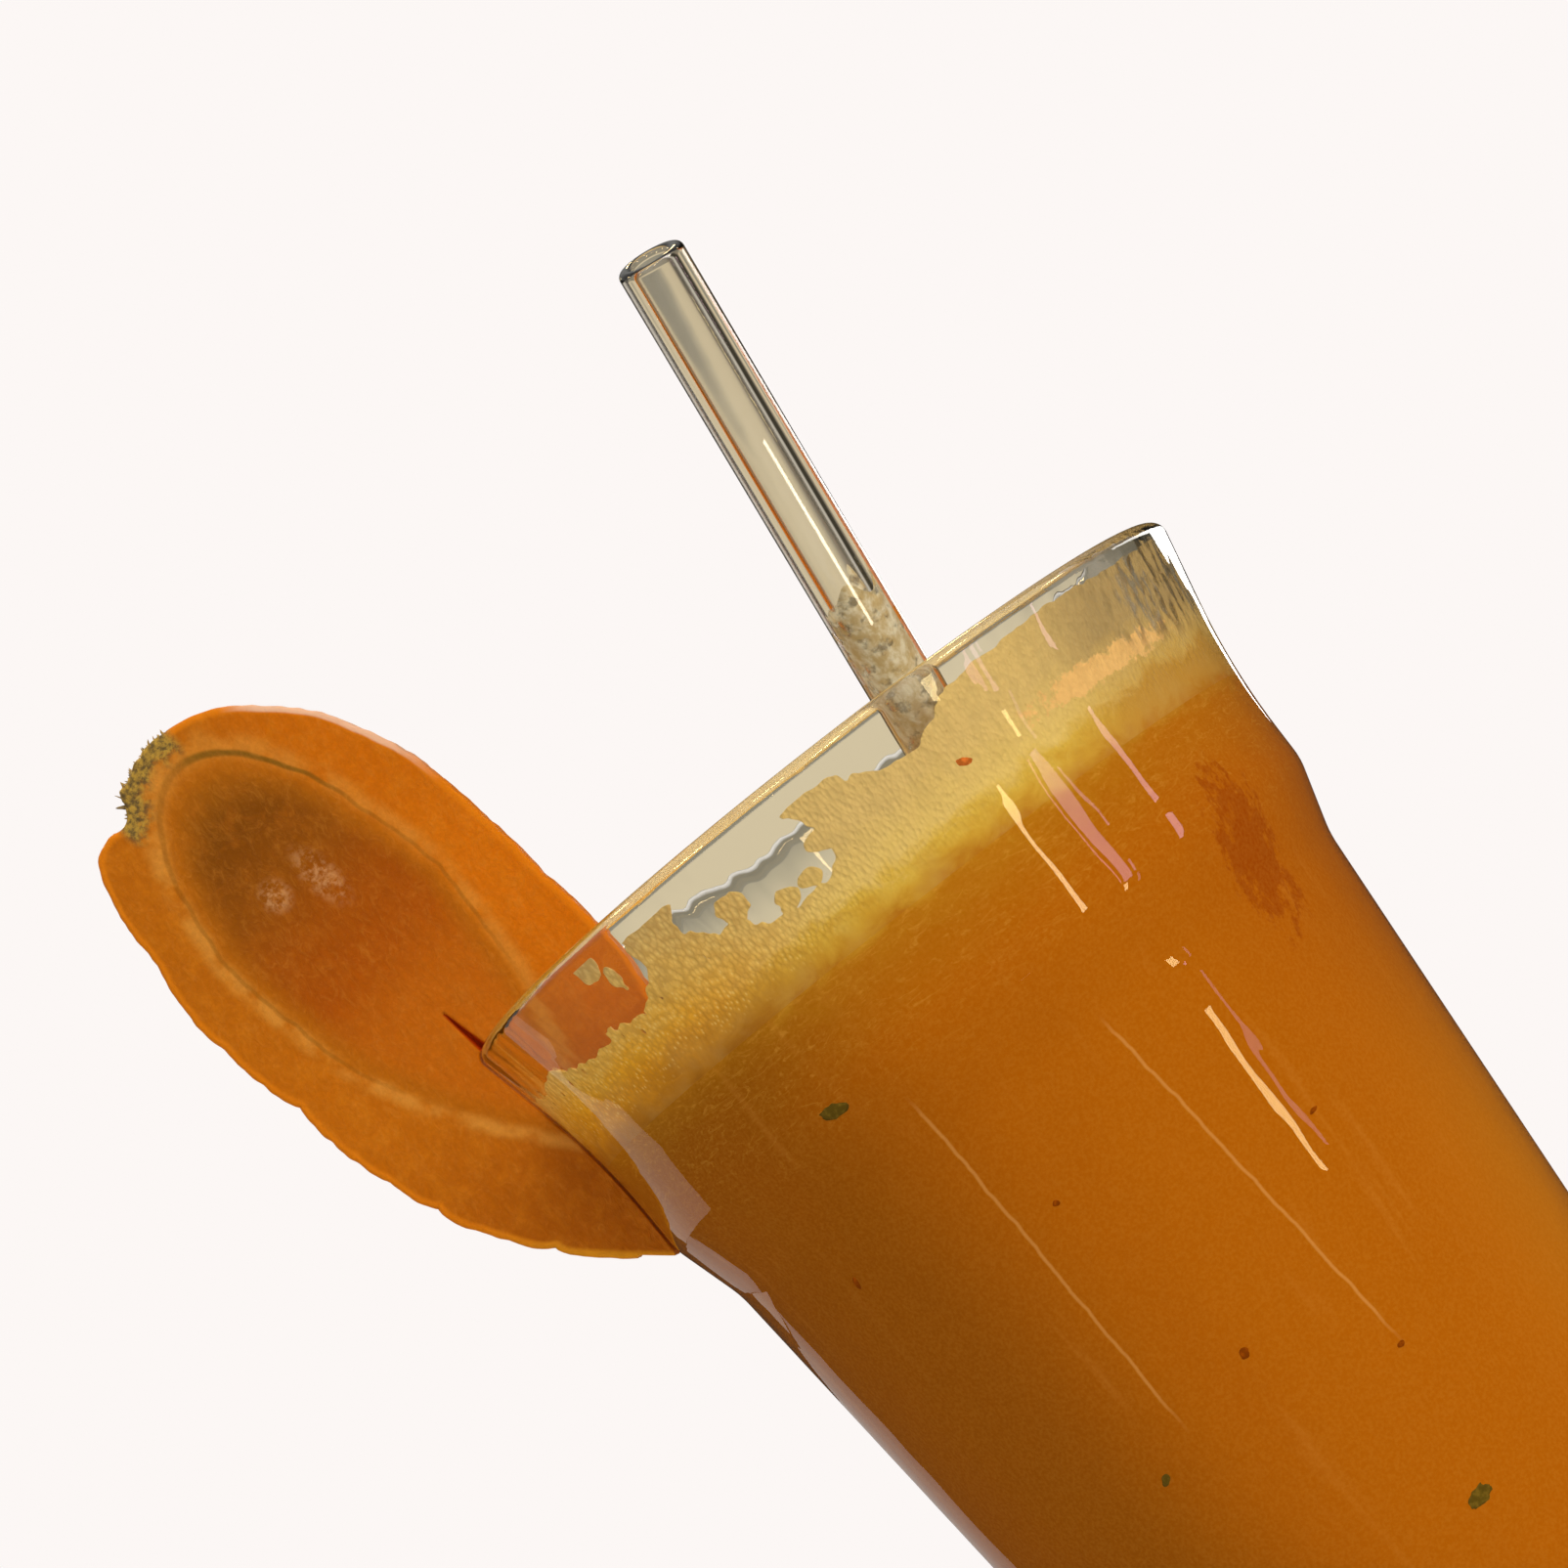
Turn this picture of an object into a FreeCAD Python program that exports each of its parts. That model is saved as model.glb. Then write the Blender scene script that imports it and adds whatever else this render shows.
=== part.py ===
import FreeCAD, Part
import Sketcher
import math
import os
import re

# A tumbler of fresh juice with a froth head, a clear glass straw and a slice of carrot on the rim.
# Millimetres and degrees.  +Z is up and the origin is the middle of the tumbler's base.
# The slice hangs over the wall at -X, and the straw leans out over the rim at -Y.

SIZES = (
    # the tumbler
    ("glass_height", 132, "height of the tumbler"),
    ("rim_radius", 42.8, "outside radius at the rim, before its lip is rounded"),
    ("neck_inset", 3.7, "from the rim in to where the flare begins"),
    ("flare_depth", 16, "height of the flared rim"),
    ("crest_inset", 3.9, "from the rim in to the crest of the stacking shoulder"),
    ("crest_depth", 27, "depth of that crest under the rim"),
    ("root_inset", 6.2, "from the rim in to the wall under the stacking shoulder"),
    ("root_depth", 34.5, "depth of that place under the rim"),
    ("base_radius", 28, "outside radius at the base"),
    ("wall", 2.7, "thickness of the wall"),
    ("base_thickness", 9, "thickness of the base"),
    ("foot_round", 2.5, "rounding round the foot"),
    ("floor_round", 7, "rounding between wall and floor inside"),
    ("crest_round", 8, "rounding of the shoulder's crest"),
    ("root_round", 12, "rounding under the shoulder"),
    ("flare_round", 70, "rounding where the rim begins to flare"),
    ("lip_round", 1.25, "rounding of the lip, inside and out"),
    # the drink
    ("juice_depth", 16.5, "depth of the juice under the rim"),
    ("foam_depth", 11.5, "depth of the top of the froth under the rim"),
    ("fit_gap", 0.1, "clearance between the drink and what it touches"),
    # the straw
    ("straw_length", 180, "length of the straw"),
    ("straw_diameter", 6.5, "outside diameter of the straw"),
    ("straw_bore", 3.6, "bore of the straw"),
    ("straw_round", 0.65, "rounding of the straw's melted ends"),
    ("straw_rim_bearing", -71, "where the straw crosses the rim, seen from above"),
    ("straw_rim_gap", 0.1, "clearance between the straw and the lip that it leans on"),
    ("straw_foot_bearing", 100, "where the straw stands on the floor, seen from above"),
    ("straw_foot_inset", 6, "from the wall at the floor to the middle of the straw's end"),
    # the slice of carrot
    ("slice_width", 35.4, "width of the slice"),
    ("slice_crown", 25, "from the widest place to the crown end"),
    ("slice_tail", 53, "from the widest place to the tail end"),
    ("slice_thickness", 5.5, "thickness of the slice"),
    ("slice_rise", 20, "height of the widest place over the rim"),
    ("slice_lean", 10.5, "outward lean of the slice"),
    ("dip_aside", 5, "from the middle line out to the dip where the leaves were cut off"),
    ("dip_radius", 6.5, "radius of that dip"),
    ("dip_depth", 1.4, "depth of that dip"),
    ("crease_count", 3, "creases in the skin below the widest place"),
    ("crease_first", 10, "where the first crease is, as an angle round the tail's ellipse"),
    ("crease_step", 18, "from one crease to the next, as such an angle"),
    ("crease_radius", 1.6, "radius of a crease"),
    ("crease_depth", 0.5, "depth of a crease"),
    ("slit_gap", 0.3, "clearance between the slit and the wall that it straddles"),
    ("crack_width", 0.5, "width of the crack above the slit"),
    ("crack_rise", 2.5, "height of the crack above the slit"),
)

doc = FreeCAD.newDocument("glass_of_juice")
sheet = doc.addObject("Spreadsheet::Sheet", "sizes")
for row, (alias, value, meaning) in enumerate(SIZES, 1):
    sheet.set(f"A{row}", meaning)
    sheet.set(f"B{row}", str(value))
    sheet.setAlias(f"B{row}", alias)
doc.recompute()
ALIASES = {alias for alias, _, _ in SIZES}


def size(formula):
    """A formula of the sheet's aliases, as an expression names them."""
    return re.sub(r"[a-z_]+", lambda word: f"sizes.{word[0]}" if word[0] in ALIASES else word[0],
                  formula)


def number(formula):
    """What a formula comes to now."""
    value = sheet.evalExpression(size(formula))
    return getattr(value, "Value", value)


def bind(thing, **formulas):
    for name, formula in formulas.items():
        thing.setExpression(name, size(formula))


# --- sketches and turned bodies --------------------------------------------------------------

ORIGIN = (-1, 1)
ACROSS_AXIS = -1
UP_AXIS = -2
START = 1
END = 2
CENTRE = 3


def upright_sketch(body, name):
    """An empty sketch in the body's own XZ plane."""
    sketch = body.newObject("Sketcher::SketchObject", name)
    plane = [plane for plane in body.Origin.OriginFeatures if plane.Role == "XZ_Plane"][0]
    sketch.AttachmentSupport = [(plane, "")]
    sketch.MapMode = "FlatFace"
    return sketch


def fix_across(sketch, point, formula, side=1):
    """Hold a point so far from the upright axis, towards +X or, with side -1, towards -X."""
    ends = (*ORIGIN, *point) if side > 0 else (*point, *ORIGIN)
    rule = sketch.addConstraint(Sketcher.Constraint("DistanceX", *ends, number(formula)))
    sketch.setExpression(f"Constraints[{rule}]", size(formula))


def fix_up(sketch, point, formula, side=1):
    """Hold a point so far above the sketch's origin or, with side -1, below it."""
    ends = (*ORIGIN, *point) if side > 0 else (*point, *ORIGIN)
    rule = sketch.addConstraint(Sketcher.Constraint("DistanceY", *ends, number(formula)))
    sketch.setExpression(f"Constraints[{rule}]", size(formula))


def hold_corner(sketch, point, out, up, side):
    """Hold a corner by how far out and how high it is.  None puts it on that axis."""
    if out:
        fix_across(sketch, point, out, side)
    else:
        sketch.addConstraint(Sketcher.Constraint("PointOnObject", *point, UP_AXIS))
    if up:
        fix_up(sketch, point, up)
    else:
        sketch.addConstraint(Sketcher.Constraint("PointOnObject", *point, ACROSS_AXIS))


def add_outline(body, name, corners, side=1):
    """A closed outline of straight lines with some corners rounded.

    A corner is two formulas, how far out and how high it is, and a third for its rounding."""
    sketch = upright_sketch(body, name)
    corners = [(*corner, None)[:3] for corner in corners]
    points = [
        FreeCAD.Vector(side * number(out) if out else 0, number(up) if up else 0, 0)
        for out, up, _ in corners
    ]
    count = len(corners)
    arrivals, leavings, centres = [], [], []
    for index, (_, _, rounding) in enumerate(corners):
        here = points[index]
        back = (points[index - 1] - here).normalize()
        onward = (points[(index + 1) % count] - here).normalize()
        half_angle = back.getAngle(onward) / 2
        radius = number(rounding) if rounding else 0
        cut_back = radius / math.tan(half_angle)
        arrivals.append(here + back * cut_back)
        leavings.append(here + onward * cut_back)
        centres.append(here + (back + onward).normalize() * (radius / math.sin(half_angle)))
    # Line number n runs from corner n to the next one.
    for index in range(count):
        line = Part.LineSegment(leavings[index], arrivals[(index + 1) % count])
        sketch.addGeometry(line, False)
    for index, (out, up, rounding) in enumerate(corners):
        before = (index - 1) % count
        if not rounding:
            joint = Sketcher.Constraint("Coincident", before, END, index, START)
            sketch.addConstraint(joint)
            hold_corner(sketch, (index, START), out, up, side)
            continue
        centre = centres[index]
        to_arrival = arrivals[index] - centre
        to_leaving = leavings[index] - centre
        angles = [math.atan2(spoke.y, spoke.x) for spoke in (to_arrival, to_leaving)]
        first, last = START, END
        if to_arrival.cross(to_leaving).z < 0:
            # An arc in a sketch runs anticlockwise, so this one runs from its leaving end.
            angles.reverse()
            first, last = END, START
        circle = Part.Circle(centre, FreeCAD.Vector(0, 0, 1), to_arrival.Length)
        arc = sketch.addGeometry(Part.ArcOfCircle(circle, *angles), False)
        sketch.addConstraint(Sketcher.Constraint("Tangent", before, END, arc, first))
        sketch.addConstraint(Sketcher.Constraint("Tangent", arc, last, index, START))
        rule = sketch.addConstraint(Sketcher.Constraint("Radius", arc, number(rounding)))
        sketch.setExpression(f"Constraints[{rule}]", size(rounding))
        corner = sketch.addGeometry(Part.Point(points[index]), True)
        for line in (before, index):
            sketch.addConstraint(Sketcher.Constraint("PointOnObject", corner, START, line))
        hold_corner(sketch, (corner, START), out, up, side)
    return sketch


def turned_body(name, corners):
    """A body of revolution about its own Z axis."""
    body = doc.addObject("PartDesign::Body", name)
    sketch = add_outline(body, f"{name}_outline", corners)
    turned = body.newObject("PartDesign::Revolution", f"{name}_turned")
    turned.Profile = sketch
    turned.ReferenceAxis = (sketch, ["V_Axis"])
    turned.Angle = 360
    return body


# --- the wall's line, which the tumbler, the drink and the slit all follow --------------------

TAPER = "( rim_radius - root_inset - base_radius ) / ( glass_height - root_depth )"


def wall_corners(inset):
    """Corners from under the stacking shoulder up to the flare, so far in from the outside."""
    return [
        (f"rim_radius - root_inset - ( {inset} )", "glass_height - root_depth", "root_round"),
        (f"rim_radius - crest_inset - ( {inset} )", "glass_height - crest_depth", "crest_round"),
        (f"rim_radius - neck_inset - ( {inset} )", "glass_height - flare_depth", "flare_round"),
    ]


def rim_corner(inset, rounding=None):
    return (f"rim_radius - ( {inset} )", "glass_height", rounding)


def floor_corner(inset, height):
    """Where the wall, so far in from the outside, comes down to a height near the base."""
    return (f"base_radius + {TAPER} * ( {height} ) - ( {inset} )", height, "floor_round")


def make_glass():
    """A pressed tumbler turned in one piece: thick base, tapered wall, shoulder, flared rim."""
    lip = "min(lip_round; wall * 0.48)"
    foot = ("base_radius", None, "foot_round")
    outside = [foot, *wall_corners("0"), rim_corner("0", lip)]
    inside = [floor_corner("wall", "base_thickness"), *wall_corners("wall")]
    inside.append(rim_corner("wall", lip))
    turned_body("glass", [(None, None), *outside, *reversed(inside), (None, "base_thickness")])


# --- the straw --------------------------------------------------------------------------------

# The straw stands on the floor by the far wall and leans on the lip at the near side.  Both
# places follow the tumbler.  A leaning tube is a little wider across than its diameter.
HALF_ACROSS = "straw_diameter * 0.55"
LIP_REACH = f"( rim_radius - wall - straw_rim_gap - {HALF_ACROSS} )"
FOOT_REACH = "( " + floor_corner("wall", "base_thickness")[0] + " - straw_foot_inset )"
FOOT_X = f"{FOOT_REACH} * cos(straw_foot_bearing)"
FOOT_Y = f"{FOOT_REACH} * sin(straw_foot_bearing)"
RUN_X = f"( {LIP_REACH} * cos(straw_rim_bearing) - {FOOT_X} )"
RUN_Y = f"( {LIP_REACH} * sin(straw_rim_bearing) - {FOOT_Y} )"
RUN = f"hypot({RUN_X}; {RUN_Y})"
RISE = "( glass_height - base_thickness )"
# The edge of its tilted end stands on the floor, which lifts the middle of the end.
LIFT = f"( fit_gap + straw_diameter / 2 * sin(atan({RUN} / {RISE})) )"
LEAN = f"atan({RUN} / ( {RISE} - {LIFT} ))"


def stand_straw(thing, back="0"):
    """Put an upright piece on the straw's line, slid back down that line past the floor."""
    aside = f"{back} * sin({LEAN}) / {RUN}"
    place = (
        f"vector({FOOT_X} - {aside} * {RUN_X}; {FOOT_Y} - {aside} * {RUN_Y};"
        f" base_thickness + {LIFT} - {back} * cos({LEAN}))"
    )
    bind(thing, Placement=f"placement({place}; rotation(vector(0 - {RUN_Y}; {RUN_X}; 0); {LEAN}))")


def make_straw():
    """A glass tube with both ends melted round."""
    melted = "min(straw_round; ( straw_diameter - straw_bore ) * 0.24)"
    corners = [
        ("straw_bore / 2", None, melted),
        ("straw_diameter / 2", None, melted),
        ("straw_diameter / 2", "straw_length", melted),
        ("straw_bore / 2", "straw_length", melted),
    ]
    stand_straw(turned_body("straw", corners))


def make_straw_room(name):
    """The space that the drink leaves for the straw and its bore."""
    room = doc.addObject("Part::Cylinder", name)
    bind(room, Radius="straw_diameter / 2 + fit_gap", Height="straw_length + fit_gap")
    stand_straw(room, "fit_gap")
    return room


def make_tube_room(name):
    """The space that the drink leaves for the tube's wall only, so that it fills the bore."""
    core = doc.addObject("Part::Cylinder", f"{name}_bore")
    bind(core, Radius="straw_bore / 2 - fit_gap", Height="straw_length + straw_diameter * 2")
    stand_straw(core, "straw_diameter")
    tube = doc.addObject("Part::Cut", name)
    tube.Base = make_straw_room(f"{name}_outside")
    tube.Tool = core
    return tube


# --- the slice of carrot ----------------------------------------------------------------------

def add_half_ellipse(sketch, length, half_width, way):
    """Half an ellipse on the sketch's origin, with its tip up or, with way -1, down."""
    quarter_turn = math.pi / 2
    tip = FreeCAD.Vector(0, way * number(length), 0)
    side = FreeCAD.Vector(number(half_width), 0, 0)
    ellipse = Part.Ellipse(tip, side, FreeCAD.Vector(0, 0, 0))
    arc = sketch.addGeometry(Part.ArcOfEllipse(ellipse, -quarter_turn, quarter_turn), False)
    sketch.exposeInternalGeometry(arc)
    long_axis, short_axis = arc + 1, arc + 2
    sketch.addConstraint(Sketcher.Constraint("Coincident", arc, CENTRE, *ORIGIN))
    sketch.addConstraint(Sketcher.Constraint("PointOnObject", long_axis, START, UP_AXIS))
    fix_up(sketch, (long_axis, START), length, way)
    fix_across(sketch, (short_axis, START), half_width, -way)
    for end in (START, END):
        sketch.addConstraint(Sketcher.Constraint("PointOnObject", arc, end, ACROSS_AXIS))


def make_slice_blank(name, grow="0"):
    """The slice before it is cut: a short half ellipse for the crown, a long one for the tail."""
    body = doc.addObject("PartDesign::Body", name)
    sketch = upright_sketch(body, f"{name}_outline")
    half_width = f"slice_width / 2 + {grow}"
    add_half_ellipse(sketch, f"slice_crown + {grow}", half_width, 1)
    add_half_ellipse(sketch, f"slice_tail + {grow}", half_width, -1)
    pad = body.newObject("PartDesign::Pad", f"{name}_pad")
    pad.Profile = sketch
    pad.Midplane = True
    bind(pad, Length=f"slice_thickness + 2 * {grow}")
    return body


def hang_slice(thing):
    """Lean the slice out at -X, so that its middle line crosses the rim in mid wall."""
    out = "rim_radius - wall / 2 + slice_rise * tan(slice_lean)"
    place = f"vector(0 - ( {out} ); 0; glass_height + slice_rise)"
    bind(thing, Placement=f"placement({place}; rotation(vector(0; 1; 0); 0 - slice_lean))")
    return thing


def make_scoop(name, radius, out, up):
    """A round cutter right through the slice, so far out of its middle line and so high."""
    scoop = doc.addObject("Part::Cylinder", name)
    place = f"vector(0 - {out}; slice_thickness; {up})"
    bind(scoop, Radius=radius, Height="slice_thickness * 2",
         Placement=f"placement({place}; rotation(vector(1; 0; 0); 90))")
    return scoop


def cut_away(name, whole, cutters):
    """Cut the cutters out of a piece one by one.  The last cut has the name."""
    for step, cutter in enumerate(cutters, 1):
        cut = doc.addObject("Part::Cut", name if step == len(cutters) else f"{name}_cut_{step}")
        cut.Base = whole
        cut.Tool = cutter
        whole = cut
    return whole


def make_slit():
    """What the knife and the wall take out of the slice: the wall's own line, and a thin crack."""
    root, crest, neck = [corner[:2] for corner in wall_corners("wall + slit_gap")]
    top = "glass_height + slit_gap"
    low = "glass_height - slice_tail"
    middle = "rim_radius - wall / 2"
    corners = [
        ("rim_radius - crest_inset + slit_gap", low),
        ("rim_radius - crest_inset + slit_gap", crest[1]),
        ("rim_radius + slit_gap", top),
        (f"{middle} + crack_width / 2", top),
        (f"{middle} + crack_width / 2 + crack_rise * tan(slice_lean)", f"{top} + crack_rise"),
        (f"{middle} - crack_width / 2 + crack_rise * tan(slice_lean)", f"{top} + crack_rise"),
        (f"{middle} - crack_width / 2", top),
        ("rim_radius - wall - slit_gap", top),
        neck,
        crest,
        root,
        (root[0], low),
    ]
    body = doc.addObject("PartDesign::Body", "slit")
    pad = body.newObject("PartDesign::Pad", "slit_pad")
    pad.Profile = add_outline(body, "slit_outline", corners, side=-1)
    pad.Midplane = True
    bind(pad, Length="slice_thickness * 2")
    return body


def make_slice():
    """The slice, slit up its middle from the tail so that it straddles the wall."""
    dip_side = "sqrt(1 - pow(dip_aside / ( slice_width / 2 ); 2))"
    scoops = [make_scoop("crown_dip", "dip_radius", "dip_aside",
                         f"( slice_crown * {dip_side} + dip_radius - dip_depth )")]
    for turn in range(int(number("crease_count"))):
        angle = f"( crease_first + {turn} * crease_step )"
        clear = "crease_radius - crease_depth"
        scoops.append(make_scoop(f"crease_{turn + 1}", "crease_radius",
                                 f"( slice_width / 2 + {clear} ) * cos({angle})",
                                 f"0 - ( slice_tail + {clear} ) * sin({angle})"))
    whole = hang_slice(cut_away("slice_outline", make_slice_blank("slice_blank"), scoops))
    cut_away("carrot_slice", whole, [make_slit()])


# --- the drink --------------------------------------------------------------------------------

def make_fill(name):
    """All that the tumbler holds, with the drink's clearance to its wall and floor."""
    inset = "wall + fit_gap"
    bottom = "base_thickness + fit_gap"
    inside = [floor_corner(inset, bottom), *wall_corners(inset), rim_corner(inset)]
    return turned_body(name, [(None, bottom), *inside, (None, "glass_height")])


def make_layer(name, low, high, rooms):
    """A layer of the drink between two heights, cut round what stands in it."""
    slab = doc.addObject("Part::Cylinder", f"{name}_slab")
    bind(slab, Radius="rim_radius", Height=f"{high} - ( {low} )")
    bind(slab, Placement=f"placement(vector(0; 0; {low}); rotation(vector(0; 0; 1); 0))")
    whole = doc.addObject("Part::Common", f"{name}_whole")
    whole.Base = make_fill(f"{name}_fill")
    whole.Tool = slab
    cut_away(name, whole, rooms)


make_glass()
make_straw()
make_slice()
JUICE_TOP = "glass_height - juice_depth"
FOAM_TOP = "glass_height - foam_depth"
make_layer("juice", "0", JUICE_TOP,
           [hang_slice(make_slice_blank("juice_slice_room", "fit_gap")),
            make_tube_room("juice_straw_room")])
make_layer("foam", JUICE_TOP, FOAM_TOP,
           [hang_slice(make_slice_blank("foam_slice_room", "fit_gap")),
            make_straw_room("foam_straw_room")])
doc.recompute()

# --- check and write --------------------------------------------------------------------------

for thing in doc.Objects:
    if "Invalid" in thing.State or "Error" in thing.State:
        raise RuntimeError(f"{thing.Label} failed: {thing.State}")

os.makedirs("parts", exist_ok=True)
for label in ("glass", "juice", "foam", "straw", "carrot_slice"):
    shape = doc.getObjectsByLabel(label)[0].Shape
    if shape.isNull() or not shape.isValid():
        raise RuntimeError(f"{label} has no valid shape")
    print(label, len(shape.Solids), "solid", round(shape.Volume / 1000, 2), "cm3")
    shape.exportStep(f"parts/{label}.step")
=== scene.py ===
import math
import random

import bmesh
import bpy
import numpy as np
from mathutils import Matrix, Quaternion, Vector, noise


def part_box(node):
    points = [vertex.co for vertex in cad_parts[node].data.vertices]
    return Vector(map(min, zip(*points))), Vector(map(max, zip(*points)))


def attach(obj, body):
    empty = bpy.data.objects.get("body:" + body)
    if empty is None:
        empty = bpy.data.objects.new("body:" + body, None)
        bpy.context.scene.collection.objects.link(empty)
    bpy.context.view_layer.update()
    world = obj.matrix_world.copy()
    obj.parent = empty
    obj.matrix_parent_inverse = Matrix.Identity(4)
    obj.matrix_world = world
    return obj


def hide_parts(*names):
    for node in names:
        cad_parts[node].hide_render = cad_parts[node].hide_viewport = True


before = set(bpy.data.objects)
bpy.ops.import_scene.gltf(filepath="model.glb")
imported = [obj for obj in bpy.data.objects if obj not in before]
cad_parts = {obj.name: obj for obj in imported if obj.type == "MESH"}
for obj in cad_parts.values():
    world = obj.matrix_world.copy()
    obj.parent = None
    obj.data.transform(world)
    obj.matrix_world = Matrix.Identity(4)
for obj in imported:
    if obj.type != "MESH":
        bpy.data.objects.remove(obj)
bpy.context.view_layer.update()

# --- Tumbler ----------------------------------------------------------------------------------
# A pressed tumbler of clear glass: thick base, tapered wall, stacking shoulder, flared rim.
# It is turned from one outline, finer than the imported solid, with its lip melted round.

MM = 0.001
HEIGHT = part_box("glass")[1].z
RIM_RADIUS = 42.8 * MM
NECK_INSET, FLARE_DEPTH, FLARE_ROUND = 3.7 * MM, 16 * MM, 70 * MM
CREST_INSET, CREST_DEPTH, CREST_ROUND = 3.9 * MM, 27 * MM, 8 * MM
ROOT_INSET, ROOT_DEPTH, ROOT_ROUND = 6.2 * MM, 34.5 * MM, 12 * MM
BASE_RADIUS, BASE_THICKNESS = 28 * MM, 9 * MM
FOOT_ROUND, FLOOR_ROUND, LIP_ROUND = 2.5 * MM, 7 * MM, 1.25 * MM
WALL = 2.7 * MM
BITE = 0.12 * MM  # how far what fills the tumbler reaches into its wall
TAPER = (RIM_RADIUS - ROOT_INSET - BASE_RADIUS) / (HEIGHT - ROOT_DEPTH)


def rounded(corners, steps=10):
    """Points along straight runs joined by arcs.  A corner is a radius, a height and a rounding.
    Corners without rounding at both ends leave it open, otherwise the last joins the first."""
    points = []
    for index, (out, up, rounding) in enumerate(corners):
        corner = Vector((out, up))
        if not rounding:
            points.append(corner)
            continue
        back = (Vector(corners[index - 1][:2]) - corner).normalized()
        onward = (Vector(corners[(index + 1) % len(corners)][:2]) - corner).normalized()
        half = back.angle(onward) / 2
        centre = corner + (back + onward).normalized() * rounding / math.sin(half)
        first = corner + back * rounding / math.tan(half) - centre
        last = corner + onward * rounding / math.tan(half) - centre
        sweep = math.pi - 2 * half
        for step in range(steps + 1):
            share = step / steps * sweep
            spoke = first * math.sin(sweep - share) + last * math.sin(share)
            points.append(centre + spoke / math.sin(sweep))
    return points


def wall_corners(inset):
    """Corners from under the stacking shoulder up to the flare, so far in from the outside."""
    return [
        (RIM_RADIUS - ROOT_INSET - inset, HEIGHT - ROOT_DEPTH, ROOT_ROUND),
        (RIM_RADIUS - CREST_INSET - inset, HEIGHT - CREST_DEPTH, CREST_ROUND),
        (RIM_RADIUS - NECK_INSET - inset, HEIGHT - FLARE_DEPTH, FLARE_ROUND),
    ]


def floor_corner(inset, height, rounding):
    return (BASE_RADIUS + TAPER * height - inset, height, rounding)


OUTSIDE = np.array(rounded([(BASE_RADIUS, 0, 0), *wall_corners(0), (RIM_RADIUS, HEIGHT, 0)]))


def wall_radius(height, inset=0.0):
    """Radius of the wall's outside at a height, or so far in from it."""
    return np.interp(height, OUTSIDE[:, 1], OUTSIDE[:, 0]) - inset


def new_piece(name, places, faces):
    mesh = bpy.data.meshes.new(name)
    mesh.from_pydata([tuple(place) for place in places], [], [tuple(face) for face in faces])
    mesh.validate()
    mesh.shade_smooth()
    piece = bpy.data.objects.new(name, mesh)
    bpy.context.scene.collection.objects.link(piece)
    return piece


def turned(name, outline, segments=256, place=Matrix.Identity(4)):
    """A turned piece.  Its outline runs with the solid on its left, and may end on the axis."""
    places, faces, rings = [], [], []
    for out, up in outline:
        count = 1 if out < 1e-9 else segments
        rings.append([len(places) + step % count for step in range(segments + 1)])
        for step in range(count):
            turn = 2 * math.pi * step / segments
            places.append(place @ Vector((out * math.sin(turn), -out * math.cos(turn), up)))
    closed = rings[0][1] != rings[0][0]
    for low, high in zip(rings, rings[1:] + rings[:1] if closed else rings[1:]):
        for step in range(segments):
            face = [low[step], low[step + 1], high[step + 1], high[step]]
            faces.append([corner for k, corner in enumerate(face) if corner != face[k - 1]])
    return new_piece(name, places, faces)


class Value:
    """What a node gives: its first output, or value["Name"].  It is reckoned with as a number is."""

    def __init__(self, node, out=0):
        self.node, self.out = node, out

    def __getitem__(self, out):
        return Value(self.node, out)

    def __add__(self, other):
        return calc("ADD", self, other)

    def __sub__(self, other):
        return calc("SUBTRACT", self, other)

    def __mul__(self, other):
        return calc("MULTIPLY", self, other)

    def __truediv__(self, other):
        return calc("DIVIDE", self, other)

    def __abs__(self):
        return calc("ABSOLUTE", self)


def put(kind, inputs=None, **settings):
    """Add a node to the open tree, a shader node unless its kind says otherwise.  Its inputs are
    given values or what other nodes give."""
    node = tree.nodes.new(kind if "Node" in kind else f"ShaderNode{kind}")
    for name, value in settings.items():
        setattr(node, name, value)
    for name, value in (inputs or {}).items():
        if isinstance(value, Value):
            tree.links.new(value.node.outputs[value.out], node.inputs[name])
        else:
            node.inputs[name].default_value = value
    return Value(node)


def new_material(name):
    """A material whose tree is open from here on: nodes go into it until another is opened."""
    global tree
    material = bpy.data.materials.new(name)
    material.use_nodes = True
    tree = material.node_tree
    tree.nodes.clear()
    return material


def show(shader):
    put("OutputMaterial", {"Surface": shader})


def linear(red, green, blue):
    """A colour given in everyday 0 to 255 steps, as a shader takes it."""
    steps = (step / 255 for step in (red, green, blue))
    return (*(s / 12.92 if s < 0.04045 else ((s + 0.055) / 1.055) ** 2.4 for s in steps), 1)


def place_of(stretch=(1, 1, 1), shift=(0, 0, 0)):
    """The place on the object, in millimetres, stretched and shifted."""
    scale = [1 / MM * share for share in stretch]
    return put("Mapping", {"Vector": put("TexCoord")["Object"], "Scale": scale, "Location": shift})


def cloud(size, detail=3, stretch=(1, 1, 1), shift=(0, 0, 0), rough=0.55, twist=0):
    """Soft noise from 0 to 1 with lumps of a size in millimetres."""
    return put("TexNoise", {"Vector": place_of(stretch, shift), "Scale": 1 / size,
                            "Detail": detail, "Roughness": rough, "Distortion": twist})["Fac"]


def sift(value, low, high, out_low=0, out_high=1):
    """Spread the stretch from low to high over the new stretch, smoothly and held at its ends."""
    inputs = {"Value": value, "From Min": low, "From Max": high, "To Min": out_low,
              "To Max": out_high}
    return put("MapRange", inputs, interpolation_type="SMOOTHSTEP")


def calc(operation, first, second=0.0):
    return put("Math", {0: first, 1: second}, operation=operation)


def hypot(first, second):
    return calc("SQRT", first * first + second * second)


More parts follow.
